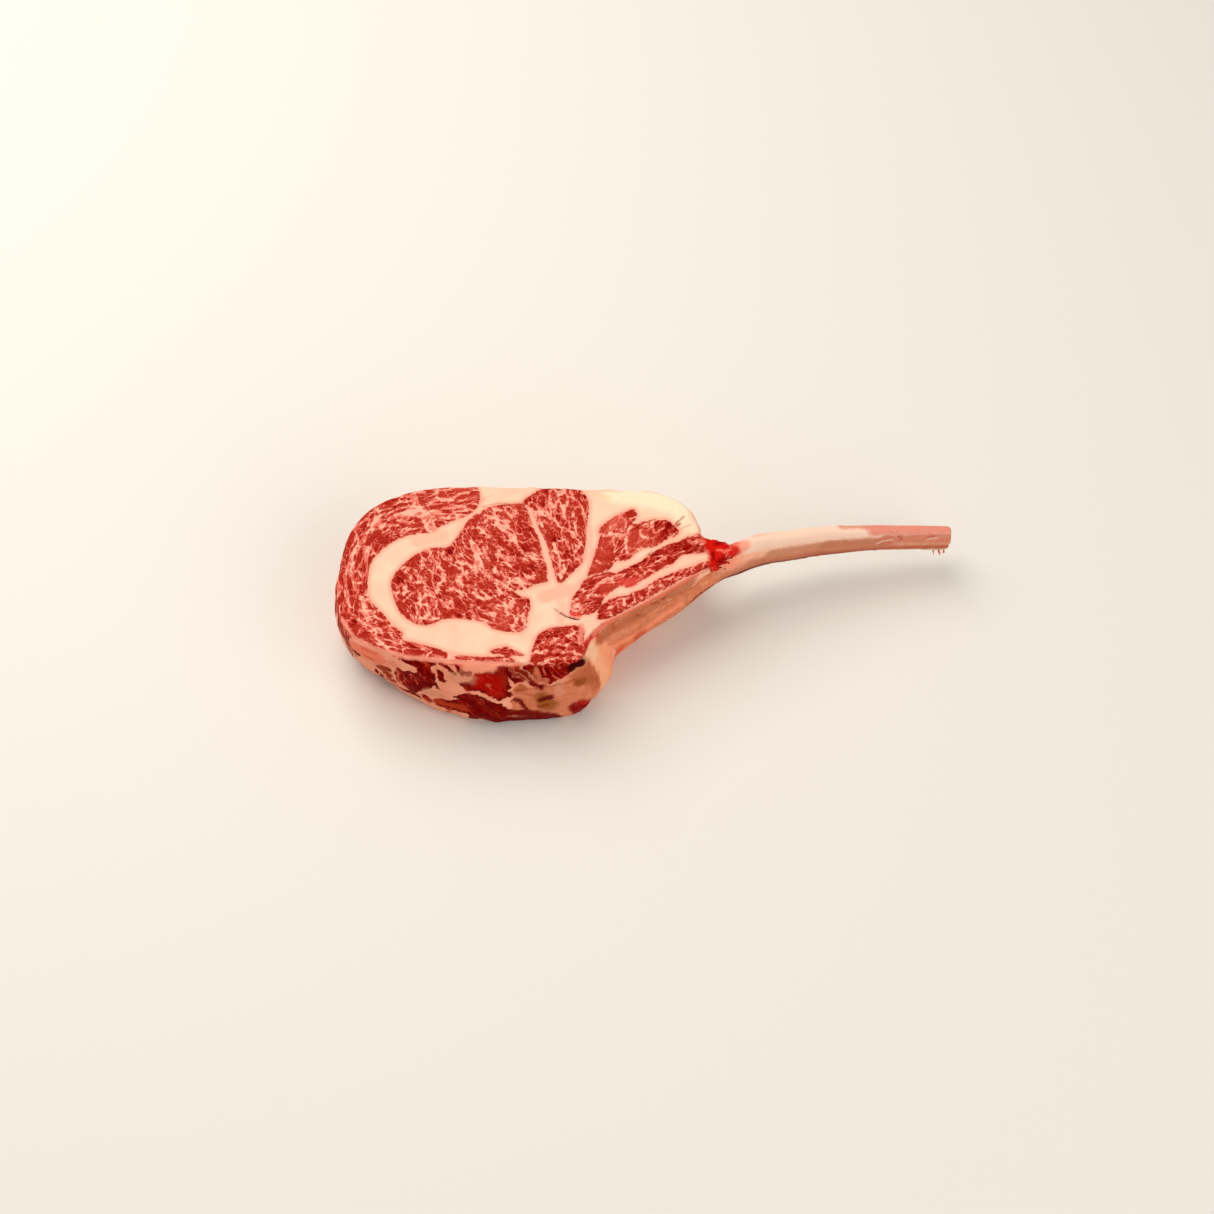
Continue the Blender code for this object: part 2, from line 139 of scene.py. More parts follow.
FLANK_INNER = [
    (-7.8, -31.7), (-5.6, -28.9), (-2.2, -26.1), (1.1, -24.7), (4.4, -24.2), (7.8, -23.3), (10.6, -21.2),
    (13.9, -20.4), (16.7, -18.2), (20, -16), (23, -13.2), (26.1, -11.5), (30, -9.6), (33.3, -7.5),
    (37.2, -5.9), (43.9, -3), (47.2, -1.3), (50.6, 0.3), (54, 1.2), (56.5, 0), (55, -2.6), (53.3, -4.1),
    (49.4, -6.3), (45, -8), (41, -9.8), (37.2, -12.4), (31.7, -16.3), (26, -20), (21.7, -23.3),
    (14.4, -27.8), (11, -30), (4.4, -34.4), (1, -36.7), (-2.2, -38.4), (-6, -39.6), (-9.8, -39.8),
    (-10.2, -37), (-9.6, -34),
]  # fmt: skip
CHINE = [
    (-45.5, -57), (-43, -51.5), (-37.5, -47), (-29, -45.6), (-21, -44.5), (-17.6, -48), (-18.2, -57),
    (-18.5, -64), (-19, -78), (-28, -92), (-46, -92), (-49, -74),
]  # fmt: skip
SLIVER = [(-70, -62.6), (-65, -60), (-61, -59.2), (-57, -61.4), (-51, -64.8), (-58, -65.2), (-66, -64.6)]
NOSE = [
    (53, 17.5), (57, 18), (62, 17), (66, 15.5), (67, 11), (70, 9), (72, 7.5), (68, 2.5), (64, -1), (60, -4),
    (56.5, -4), (55.5, 0), (56.6, 4), (56, 8), (53.5, 12),
]  # fmt: skip
# The way each muscle's grain runs, in degrees at the left and at the right, or None where it follows the rim,
# and how drawn out it is
MUSCLES = [
    (SLIVER, None, 2.6), (NOSE, (80, 80), 1.6), (EYE, (-66, -40), 1.7), (CAP, None, 2.6),
    (UPPER, (105, 105), 1.8), (FLANK_OUTER, (48, 48), 2.2), (FLANK_MIDDLE, (30, 30), 2.4),
    (FLANK_INNER, (32, 32), 1.6), (CHINE, (20, 20), 1.7),
]  # fmt: skip

# Rib bone: x, y and height of its middle, its breadth seen from above, and its depth
RIB = [
    (-20, -60, 23, 10, 38), (-12.2, -47.8, 23.5, 10, 42), (-3.4, -38.3, 23, 9.5, 42),
    (4.4, -33, 24.3, 9.5, 41), (11.7, -28.5, 26.9, 9.5, 36.4), (20.5, -22.8, 28.7, 9.5, 32.8),
    (30.6, -15.6, 28.6, 9.5, 33), (40.5, -8.5, 30.5, 10, 32.2), (49.8, -1.7, 34, 10.5, 29.2),
    (60.5, 5.8, 37.6, 11.2, 26.4), (73, 13.4, 36.6, 11.5, 29.4), (86, 19.9, 35.7, 11.4, 29.6),
    (99.3, 24.2, 33.8, 11.2, 27.8), (112.5, 28, 32.2, 11, 26.6), (125.6, 31.2, 31, 10.8, 25),
    (138.8, 33.6, 29.8, 10.5, 23.4), (157, 36.3, 28.6, 10.2, 21.2), (178.3, 38.8, 26.4, 10.2, 20),
    (204.3, 41.5, 23.6, 9.8, 19.4),
]  # fmt: skip
# Its rings, and the points in each; its section, where 2 is an oval and more is squarer; and its rounded ends
RIB_RINGS, ROUND_RIB, SECTION_POWER = 60, 28, 2.6
END_SHARE, END_ROUNDING = 0.86, 1.4  # how much is left at the end, and over what length it narrows
BONE_TIP, MARROW = (204.3, 41.3, 23.0), (6.5, 4.5)  # the sawn tip's middle, and where its marrow ends
BARE = (56, 72)  # x from where to where the bone comes bare
# The block of backbone, seen from above, and how high its top is at its left and right ends
BACKBONE = [(-56, -92), (-54, -62), (-44, -55), (-28, -54), (-10, -50), (-3, -92)]
BACKBONE_TOP = (29.0, 43.0)
BELOW = -5.0  # where the block starts, before it is cut off level with the slab

# The way along the rim, in millimetres, where each stretch of the side wall sets in and where it is whole
LEFT_SIDE, LEFT_FOOT = (141, 119), (176, 162)
BACK_FROM_TAIL, BACK_FROM_LEFT = (300, 390), (24, 6)
# and where the front wall stands out or steps back: where that sets in, and where it ends
OVER_BLOCK, OVER_BLOCK_END = (222, 232), (276, 268)
FLESH_BROW, FLESH_BROW_END = (208, 219), (229, 225)
HEAVY_FOOT, HEAVY_FOOT_END = (190, 203), (226, 216)
STEP_BACK, STEP_BACK_END = (225, 229), (236, 230)

# The middle that the muscles' grain turns round, the torn nose of the tail by its x and its y, and the slit
# in the cut face
GRAIN_MIDDLE = (-80, -8)
NOSE_SIDE, NOSE_BACK = (54, 58), (22, 18)
SLIT = [(-33, -34.5), (-27, -38.6), (-24, -39.8), (-20, -40.4)]
FAR = 9.0  # a depth that is well inside a muscle

# Veins of fat in the cut face: the width of each, then x and y of its points
VEINS = [
    # in the eye, its left half
    (1.8, -105.8, 1, -104.3, -2, -102.2, -5.6, -100.1, -9.2, -97.4, -12.2, -96.5, -16.4, -96.2, -18.8),
    (2.9, -107.5, 2.5, -105.5, 1), (1.6, -110, -5.6, -110.3, -8, -109.4, -10.4),
    (1.6, -113, -11.6, -113.3, -14, -112.1, -15.8),
    (1.8, -118.1, -18.8, -114.2, -20, -107.6, -19.7, -107, -18.8), (1.4, -115.7, -17.3, -115.4, -18.8),
    (1.4, -107, -20.6, -107, -22.4, -107.3, -24.5),
    (1.4, -118.1, -22.4, -119, -24.2, -118.1, -26, -119, -28.4),
    (1.6, -115.7, -28.4, -111.5, -26, -110.6, -24.2), (1.4, -116.6, -29.6, -117.5, -31.4, -119, -32.6),
    (1.6, -110.6, -27.2, -109.4, -29, -110, -32, -109.4, -34.4),
    (2.4, -104.9, -25.4, -103.4, -27.2, -102.2, -29, -103.1, -32),
    (1.8, -102.2, -28, -101, -26, -99.2, -24.2),
    (1.6, -112.4, -33.2, -111.5, -35, -111.8, -37.4, -111.5, -39.2),
    (1.8, -110.6, -34.4, -108.2, -33.8, -104, -35.6, -102.2, -34.4, -101.3, -32),
    (1.8, -104.6, -36.2, -104.9, -38.6, -104.6, -41, -105.8, -42.2, -108.5, -43.1),
    (1.4, -101, -34.4, -100.1, -36.8, -99.2, -39.8, -98.6, -42.2), (1.4, -103.4, -43.4, -99.2, -42.8),
    (1.9, -122.6, -27.2, -122, -27), (1.6, -95.3, -24.8, -93.2, -24.5, -92, -23),
    (1.2, -99.2, -20.6, -96.8, -17), (1.6, -92.6, -31.4, -91.4, -33.8, -91.1, -35.6),
    (1.8, -90.8, -41, -90.2, -42.8), (3.7, -87.8, -16.4, -88.1, -18.8, -87.2, -21.2),
    (1.4, -88.4, -25.4, -86.6, -27.2, -87.2, -29), (1.4, -96, -4, -95, -4.5),
    (1.8, -89.6, -5.6, -86.6, -6.2, -84.2, -5.6),
    # its right half
    (3.2, -82, 8.5, -80, 5, -78.2, 1, -78, -3), (4.5, -78, -5, -77.6, -9), (2.1, -75, -12, -71.5, -14.8),
    (3.1, -70, -16, -66.5, -18), (1.8, -66, -18.5, -62, -21, -58, -22.6),
    (2.1, -79.6, -9.4, -85, -6.1, -86.2, -4.9), (1.8, -83.5, 18.5, -80.2, 18.2, -76, 18.5, -75.4, 17),
    (1.6, -76, 15.2, -74.2, 14.3, -71.8, 12.5, -73, 11.6), (2.2, -71.5, 12.8, -71.2, 12.5),
    (1.6, -81.4, 8.3, -79, 9.2, -76, 8.6),
    (1.9, -70, 26.6, -68.2, 27.2, -66.4, 26.6, -67.6, 24.2, -67.6, 20.6, -65.8, 19.4),
    (2.2, -68.2, 31.4, -65.2, 31.1), (1.6, -74.8, 27.2, -71.8, 26.6, -70, 25.4),
    (1.6, -65.8, 18.8, -64, 17, -61.6, 15.5, -58.6, 14), (3.7, -59, 13, -57.4, 10.6),
    (1.6, -58, 9.8, -55.6, 6.8, -54.4, 4.4, -53.2, 3.5), (2.7, -57.4, 30.8, -57.7, 27.2),
    (1.4, -64, 23.6, -61.6, 24.2, -60.4, 23), (1.8, -75.4, 4.4, -73.6, 2, -73, -1, -71.2, -4),
    (1.4, -65.2, -6.4, -62.8, -5.8, -60.4, -6.4, -58, -6.1), (1.6, -68.2, -8.8, -67.6, -11.8, -65.8, -13.6),
    (1.6, -64.6, -10, -63.4, -13, -61.6, -14.8), (1.4, -55.6, -1, -52, -1.6, -49.6, -3.4),
    (1.6, -47.2, -0.4, -44.8, -2.8, -43.3, -4.6), (1.4, -49.6, 2.6, -46.6, 2, -44.2, 0.8),
    (1.6, -46.6, -11.2, -46, -14.8), (1.2, -52, -11.8, -49.6, -14.2, -47.8, -15.4),
    (1.2, -59.8, -15.4, -56.8, -17.8, -52, -19.6),
    (1.8, -62.2, -28.6, -62.2, -31.6, -61.3, -35.2, -60.4, -38.8),
    (1.6, -68.2, -37.6, -68.8, -40.6, -68.2, -42.4), (2.5, -68.2, -38.2, -68, -38.4),
    (1.6, -55, -34.6, -54.4, -38.2, -52.6, -39.4, -50.8, -37),
    (1.6, -55, -40.6, -56.2, -44.2, -58, -46, -56.8, -48.4),
    (1.4, -50.8, -41.8, -50.2, -44.8, -52.6, -47.8, -55.6, -49),
    (1.9, -80.8, -32.8, -81.1, -36.4, -79.6, -39.4), (3.5, -79, -41, -78.4, -43),
    (1.6, -80.2, -25.6, -78.4, -27.4, -74.8, -29.2),
    (1.2, -76, -24.4, -73.6, -26.2, -71.8, -28.6, -70, -29.2), (1.8, -87.4, -25, -86.2, -26.8, -87.4, -28),
    (1.4, -83.8, -11.2, -84.4, -14.8, -83.2, -17.2), (1.4, -83.2, -22, -82, -25.6),
    (1.4, -66.4, -22, -64, -24.4, -65.2, -26.8),
    # in the cap
    (2.1, -141.4, 12, -142.9, 7.2, -145.6, 5.4, -148.9, -1.2, -149.5, -4.8, -148.6, -12, -148.6, -16.2,
     -147.1, -20.4),
    (2.0, -147.1, -20.4, -145.6, -25.2, -142.3, -32.4, -140.8, -35.4, -140.2, -39, -137.8, -40.2),
    (4.2, -149.2, -8, -148.8, -14),
    (1.8, -152.8, -14.4, -152.2, -18, -151, -28.8, -148.9, -36, -149.2, -39.6),
    (1.8, -149.2, -39.6, -145, -43.2, -139, -49.8, -133, -56.4, -129.4, -60, -125.8, -63.6, -121, -67.2),
    (1.0, -145, -16.2, -144.4, -21.6, -144.7, -25.2), (1.0, -153.4, -4.8, -152.5, -9, -151.6, -14.4),
    (1.5, -140.2, -25.2, -139, -30, -139.6, -34.8, -139, -39, -137.2, -41.4, -134.2, -39.6, -131.2, -37.2),
    (1.2, -134.2, -45.6, -133, -48.6, -130.6, -51.6, -129.4, -55.8),
    (1.2, -130, -49.8, -127, -48.6, -124.6, -48),
    (1.5, -126.4, -51.6, -124.6, -54.6, -123.4, -57, -119.8, -58.8),
    (1.5, -134.8, -55.2, -130.6, -57, -125.8, -57.6, -121, -60, -117.4, -59.4),
    (1.1, -139, -40.2, -136, -40.8, -133, -43.8, -129.4, -45, -125.8, -44.4),
    (6.0, -103, 14, -106.5, 20, -108, 24), (7.0, -107, 25, -112, 28, -114, 31),
    (4.6, -114, 31, -114.6, 35, -115.4, 38), (4.0, -118, 27.6, -101, 27.4), (2.0, -129, 39.3, -117, 39.6),
    (2.1, -114.8, 41.4, -115.4, 38.4, -116, 36, -113.6, 34.2), (1.9, -113.6, 43.8, -114.8, 41.4),
    (1.6, -128, 37.8, -125, 38.6, -120.2, 38.6, -116, 39),
    (1.2, -129.2, 30, -125.6, 33.6, -118.4, 35.4, -116, 36),
    (1.2, -129.8, 25.8, -126.2, 28.8, -119.6, 31.8, -116, 33),
    (2.1, -129.2, 22.8, -122, 26.4, -116, 27, -113.6, 25.8),
    (1.9, -144.2, 6.6, -142, 12, -140, 14.7, -135.2, 15.6, -130.4, 18.6, -124.4, 18.6),
    (1.5, -139.4, 15.6, -138.8, 18.6, -134, 24.6, -131.6, 27),
    (1.5, -124.4, 22.2, -118.4, 19.8, -115, 21.6), (1.0, -119.6, 13.2, -118.4, 15.6, -113.6, 16.8),
    (1.9, -108.8, 28.2, -101, 29.4, -98, 31.2, -92, 31.8, -86, 33),
    (1.5, -107.6, 33, -105.2, 36, -101, 37.8, -98, 36.6, -94.4, 37.8, -92, 39.6, -88.4, 42, -84.2, 42.6),
    (1.5, -93.2, 30, -90.8, 27.6, -87.2, 26.4, -83.6, 27, -80, 28.8, -76.4, 32.4),
    (2.1, -99.8, 25.2, -95, 24.6, -88.4, 25.2), (1.1, -89.6, 36.6, -86, 37.8, -82.4, 38.4),
    (4.3, -92, -68, -90.5, -64), (2.4, -101.5, -67, -97, -67.5),
    # in the upper muscle
    (1.9, -37, 45, -36.6, 41, -37, 38.6, -35.5, 36, -34, 34), (1.9, -31.5, 40.5, -32.5, 37.5, -34, 35),
    (1.4, -42.5, 44.5, -39.5, 42.5), (1.4, -32, 42.3, -29.6, 43.5, -28, 45.4), (1.4, -29, 48, -28, 46),
    (2.4, -28.6, 35.2, -28.4, 32, -28.6, 29, -28.9, 26.5), (1.8, -30, 35, -27, 34.8),
    (1.6, -23.5, 45, -23.4, 41, -24, 38.5), (1.4, -24.5, 46.5, -25.5, 44),
    (1.8, -22, 34.6, -20, 35, -18.5, 34.5, -17.5, 32.5, -17.6, 30.8, -18.4, 30),
    (1.4, -20, 38.5, -19.5, 36.5), (1.3, -23.4, 31.5, -23.6, 28), (1.5, -45, 31, -42.5, 30.4, -36.8, 30),
    (2.5, -42.2, 30, -40.5, 29.2, -38.4, 29.3), (1.7, -34.2, 26.5, -33.5, 24, -32.5, 21.8, -29.8, 20),
    (1.4, -40, 24, -39.5, 22.5), (1.3, -38.5, 23.6, -38, 21.8), (1.4, -42, 23, -41.5, 21),
    (1.8, -34.8, 10, -34, 7, -33.2, 4, -32.8, 3), (1.6, -32, 0, -31.8, -3), (1.4, -29.3, 14, -28.9, 11),
    (1.8, -26.5, 11, -27, 8, -25.5, 6.5), (1.3, -24, 18, -23.5, 14), (1.5, -22.5, 4.5, -20, 1.5),
    (1.4, -29.5, -2, -27, -1.5, -24.5, -2.5), (1.4, -29, -4.5, -28.5, -7.5, -29.5, -9.5),
    (1.3, -25, -4, -24, -6), (1.4, -31.8, -10, -30.5, -13),
    # in the flank
    (2.2, -7.5, 16.2, -4, 16, -1, 16.8, 3, 16.8, 6, 16.5), (1.3, -0.3, 16, -0.3, 12, -0.2, 9.5),
    (1.6, 22.5, 25, 22.8, 21, 23.6, 18.7), (1.6, 7.3, 16, 7, 12, 6.8, 9, 7.2, 6, 8, 4),
    (1.2, 7.5, 17, 8.5, 20, 9.5, 22.5), (1.3, 23.6, 18.7, 25.5, 19.8, 27.4, 21.4, 29, 22.5),
    (1.6, 15.4, 21, 15.4, 18, 16.6, 16, 19.4, 15.4), (1.2, 32.4, 21.4, 32.7, 18.6, 32.2, 15.6),
    (0.9, 29.5, 27, 29, 24), (1.1, 8, 2.5, 11, 5, 14, 7.5, 17, 8.5), (1.6, -10, -1.5, -8, -3),
    (1.2, 14.8, -5.6, 16.8, -7.8, 17.2, -9), (1.7, 20, -6.5, 22.5, -7, 24.5, -9),
    (1.3, 24, -1, 27, 0.5, 29.5, 1.5), (1.1, 31.5, 7, 32.5, 5.5, 34, 7),
    (2.3, 43.5, 14.5, 45.5, 12.8, 48, 13.6, 50.5, 13, 52, 11.5), (1.7, 52, 11, 53.5, 9, 55, 6.5),
    (2.0, 3.3, -10.4, 0, -11.7, -5.6, -14.4, -8.9, -16.3, -11.1, -19.4, -13.3, -22.2, -16.1, -26.1),
    (1.8, -16.1, -26.1, -18.9, -28.9, -21.1, -31.7, -23.9, -34.6),
    (2.0, -13.3, -24.6, -9.4, -24.8, -6, -24.6), (1.1, -12, -13.2, -8, -11.9, -4, -10.2),
    (1.1, -8, -16.6, -4, -15.6, 1, -15.2, 4, -14.3), (1.3, -18.5, -28.6, -15, -27, -12.5, -28),
    (1.2, 5, -25.5, 5.2, -28, 6, -30.5, 9, -31), (1.2, 10.6, -22.5, 11.4, -26, 10.8, -29),
    (1.2, 13.6, -21.5, 14.2, -24.5, 17, -25.5), (1.1, 0.5, -29.5, 2.5, -32, 6, -32.6),
    (1.2, -4, -33, -1, -31.5, 1, -29), (1.3, -5.5, -36, -3, -35, -2, -37),
    (1.1, 18.5, -22.5, 20.5, -20, 20, -18), (1.1, 25, -17.5, 27, -16, 26, -13.5),
    (1.1, 31, -12, 34, -12.5, 36, -10.5), (1.1, 38, -10.5, 41, -9),
    # in the chine muscle
    (1.9, -36.5, -57.5, -33.5, -55, -30.5, -54.3, -29.5, -55.8), (1.3, -29, -54, -27, -52.5, -22.5, -49),
    (1.3, -41, -56.5, -38.5, -58, -35.5, -57.8), (1.2, -30, -59, -27.5, -58, -25, -58.5),
    (2.3, -34.5, -63, -31.5, -61.5, -29.5, -63), (1.9, -26.5, -62, -23.5, -62, -21.5, -64.5),
    (2.3, -44, -62.5, -40, -63.5, -38.5, -62), (2.5, -38.5, -67, -36, -66.5),
    (1.5, -42.5, -69.5, -39.5, -69), (1.7, -34, -66, -31, -66.5, -28.5, -66.5),
]  # fmt: skip
# Darker and paler places in the flesh of the cut face: x, y, reach and how much
TONES = [
    (-121, -19.5, 2.5, -1), (-94, 1, 3, -1), (-53, -27, 2, -1), (-49, -29.5, 2, -1), (-45, -7.5, 3.5, -0.8),
    (-51, 4, 3, -0.8), (-52, -13, 3, -0.7), (-69, -26, 1.5, -0.8), (-77, -31, 1.5, -0.8),
    (-88, -40.5, 1.4, -0.8), (-67, -41, 1.2, -0.8), (-63, -44, 9, 0.35), (-121, 36, 2, -0.8),
    (-127, 31, 2, -0.8), (-120, 23, 1.6, -0.8), (-142, 17, 1.2, -0.8), (-146, -47, 2, -0.8),
    (-143, 2, 2, -0.5), (-143, -28, 1.5, -0.6), (-158, -20, 4, 0.6), (-87, 46, 6, 0.25),
    (-110, -64, 8, 0.3), (-80, -67, 6, 0.35), (-32, -57, 11, -0.45), (-15, 16, 5, 0.35), (-10, -4, 5, 0.2),
    (-47.5, 37.5, 2.2, -1.2), (-41, 36, 1.6, -0.7), (-38, 46, 2.5, -0.7), (-35, 45, 1.2, -0.8),
    (-20, 42.5, 2.6, -0.9), (-16.5, 43, 1.8, -0.9), (-23, 46.5, 1.5, -0.8), (-32, 27, 2, -0.8),
    (-30, 20, 1.2, -0.8), (-34, 12, 1.8, -0.9), (-31, 13, 1.5, -0.9), (-26, 14.5, 1.8, -0.8),
    (-26, 2.5, 3, -1.1), (-30.5, -15.5, 1.6, -0.8), (3, 11, 2.5, -0.8), (12.5, 12, 2, -0.8),
    (-2.5, 8.5, 2, -0.6), (-2, -2, 3, -0.5), (2, 3.5, 2.5, -0.5), (7, 2.5, 2, -0.5), (14, 22.5, 2, -0.8),
    (24, 23, 1.4, -0.8), (28, 18, 3, -0.9), (32, 25, 2, -0.8), (36.5, 20, 1.5, -0.5), (20, 18, 2.4, -0.8),
    (25, 13, 2.4, -0.8), (8, 32.5, 1.5, -0.7), (1, 26, 7, 0.9), (-85, -8, 16, 0.3), (-70, 22, 12, 0.35),
    (-60, -36, 9, 0.4), (-30, 8, 16, 0.25), (-95, 42, 14, 0.5), (12, -28, 10, -0.1), (-146, -20, 16, -0.25),
    (-112, -58, 14, -0.25), (-28, 34, 10, 0.15), (8, 14, 13, 0.4), (28, 21, 7, -0.6), (20, 0, 10, 0.15),
    (-14, -24, 8, -0.12), (-6, 0, 6, -0.25), (12, -3.5, 2.5, -1), (18, 0.5, 2.6, -1), (24, 2.5, 2.4, -1.2),
    (33, 2, 2, -0.9), (38, 9.5, 3.4, -1.3), (45, 10, 3.4, -1.4), (52, 12, 3, -0.8), (-21, -22, 3, -0.8),
    (-19, -28, 2.4, -0.9), (-13, -17, 2, -0.7), (-10, -35, 1.6, -0.6), (-12, -9.5, 2, -0.7),
    (8, -17, 3, 0.5), (-24, -35, 2.5, 0.5), (-8.5, -38.5, 1.8, -0.9), (3, -34, 1.5, -0.7),
    (26, -13.5, 2, -0.6), (20, -21, 2, -0.6), (-35, -48, 3, -0.9), (-39, -53, 2, -0.8),
    (-43, -56, 1.6, -0.7), (-25, -54, 2, -0.7), (-20, -51, 2, -0.5), (-23, -57, 1.6, -0.8),
    (-33, -64.5, 1.6, -0.9), (-27, -66, 1.6, -0.9), (-40, -71, 2, -1), (-37, -73, 2, -1),
    (-30, -70, 2, -0.8),
]  # fmt: skip

# On the side wall, by the way along the rim and the height: outlines of the red flesh that shows in the fat
WALL_RED = [
    [(160, 50.3), (178, 49.8), (182, 48), (179, 46), (179.5, 44), (181, 41), (183, 35), (185.5, 30), (186,
     28.3), (184, 29), (182, 31), (180, 28), (177, 26.5), (174, 23), (172, 19), (168, 17), (165, 18), (163,
     22), (161, 26), (160, 30), (158.5, 34), (159.5, 38), (161, 41), (164, 40), (167, 41), (169.5, 40),
     (171, 42), (170, 45), (167, 47), (163, 47.8)],
    [(182, 45.5), (185, 44.3), (187.5, 41), (188, 38), (186.5, 35.8), (184.3, 37), (183.3, 40)],
    [(180, 50.2), (186, 49.2), (190, 47.3), (193, 44.7), (193.6, 42.6), (191, 43.4), (188, 46), (184,
     48.3)],
    [(191.5, 49.3), (196, 48.3), (200, 46.8), (202.3, 43.5), (200, 42.8), (196, 44.3), (193, 46.8)],
    [(203, 45.6), (208, 46.6), (214, 47), (217, 50.3), (221, 50), (221.5, 45), (223, 40), (224.6, 35), (223,
     33), (225.5, 27.5), (220, 27), (215, 29), (210, 30.8), (205, 32.4), (200.5, 32.2), (198.5, 34.2), (196,
     36), (194.5, 38.8), (201, 39.4), (203.5, 41)],
    [(193.5, 25), (196.5, 28), (200.8, 30.6), (203.5, 29.6), (207, 28.8), (211, 27.4), (215, 26.2), (218.4,
     24), (221.4, 20), (224, 15), (227, 11.8), (230, 10.4), (236, 10), (242, 9.4), (248, 8), (253, 4), (254,
     -6), (203, -6), (202, 9), (196, 10), (190, 8), (186, 10), (181.5, 13), (183.5, 18.6), (190, 19), (193,
     21), (196, 23)], [(175, 20.3), (178, 20.8), (179.5, 17), (180, 12), (177, 13), (175, 16)],
    [(147, 33.4), (150.6, 36.8), (155.4, 37.4), (157, 34.6), (154, 32), (150, 31)],
    [(151, 30.6), (155, 31.4), (158, 28), (155, 26.2)],
    [(154.6, 24), (158, 26), (160.4, 23), (158, 19.6), (155.6, 20.6)],
    [(149, 25), (151.8, 26), (152.4, 20), (149.6, 18)],
    [(163, 15), (168, 17), (173, 16.4), (173, 12.6), (166, 12)],
    [(144.8, 22), (145.8, 28), (148.4, 27), (147.4, 20)],
    [(133.3, 36), (134.5, 41.5), (137, 36.5), (134.5, 34)],
    [(139, 40), (143, 42.5), (145, 39.5), (142, 38.5)],
    [(220, 49.5), (224, 46), (228, 40.5), (232, 36.3), (229.5, 35.6), (225, 40), (220.5, 45.5)],
    [(226, 50), (231, 46), (235, 40.5), (238, 36.5), (242, 33.3), (239.5, 33.6), (234, 38), (229, 44), (225,
     48.5)],
    [(232, 51), (236, 43), (241, 38), (244, 38), (246, 35.3), (250, 39.5), (254, 42.5), (258, 46), (262,
     46.2), (266, 45), (270, 43), (268, 51)],
    [(226, 24), (229, 24), (231, 21.5), (233.5, 17), (236, 12), (234, 12), (231, 17), (228.5, 21)],
    [(256.5, 16.5), (261, 15.5), (265, 10), (267, 3), (262, 4), (258, 9)],
]  # fmt: skip

# Shreds of flesh where the bone leaves: the breadth at the root and at the end, then x, y and z of the points
SHREDS = [
    (1.5, 0.9, 58, 14.2, 50.6, 62, 14.8, 50.2, 65.5, 15.2, 49.8),
    (1.6, 0.9, 60, 12, 50.4, 65, 12.8, 50.2, 70, 13.6, 49.8),
    (1.6, 0.9, 61, 9.4, 50.6, 66, 10.2, 50.4, 72, 11.4, 49.9),
    (1.6, 0.8, 61, 6.6, 50.4, 66, 7.4, 50.2, 71, 8.8, 49.8),
    (1.6, 0.8, 60, 3.8, 50.2, 64.5, 4.8, 49.8, 69, 6.2, 49),
    (1.5, 0.7, 58.5, 0.8, 50, 62, 1.6, 49.2, 65.5, 3, 48.2),
    (1.3, 0.7, 57, -1.4, 49.4, 60, -0.8, 48.2, 63, 0.4, 47),
    (1.0, 0.5, 57.5, -1.6, 48.3, 59, -1.2, 46.2, 60.2, -0.6, 44.4),
    (1.0, 0.6, 64, 2.7, 49, 66, 3.4, 47.6, 67.4, 4, 46.4),
    (0.9, 0.5, 66, 12.2, 50.4, 69, 11.6, 50.2, 71.5, 12, 49.8),
    (0.9, 0.5, 56, -2, 50, 57, -2.4, 47.8, 57.4, -2.2, 45.8),
    (1.1, 0.5, 199.4, 37.6, 15.6, 200.4, 37, 13.2, 201, 36.8, 11.4),
    (0.9, 0.4, 202.4, 38.6, 15, 203, 38.2, 13, 203, 38, 12),
    (0.8, 0.4, 196, 37.4, 15.4, 196.6, 36.8, 13.4, 197, 36.6, 12.4),
]  # fmt: skip

# Streaks of fat in the red flesh of the side wall: the width, then the way along the rim and the height
WALL_VEINS = [
    (0.9, 172, 41, 174, 38, 177, 34.5), (0.6, 168, 38, 168.8, 33), (1.2, 158.6, 40, 161, 32, 163, 25),
    (0.6, 164, 34, 166, 27), (0.8, 170.5, 34, 172, 28), (0.8, 165, 46, 169, 43.5), (0.9, 180, 36, 182, 32),
    (0.8, 206, 42, 210, 40), (0.8, 213, 35, 217, 32), (0.9, 246, 49, 249.4, 44, 251, 41),
    (0.9, 250, 50, 255, 46), (1.2, 242, 50, 243.4, 45), (0.8, 197, 26, 200, 24), (1.1, 186.6, 14, 189, 8),
    (1.0, 191, 16, 192, 7),
]  # fmt: skip
# Places in the cut face where the flesh is smooth and barely marbled: x, y and reach
CALM = [
    (12, 12, 9), (23, 17, 7), (1, 27, 7), (-5, 20, 4), (-7, 2, 7), (-4, 11, 5), (-11, -7, 4), (-63, -44, 6),
    (-87, 46, 5), (-4, -20, 5), (9, -17, 4),
]  # fmt: skip

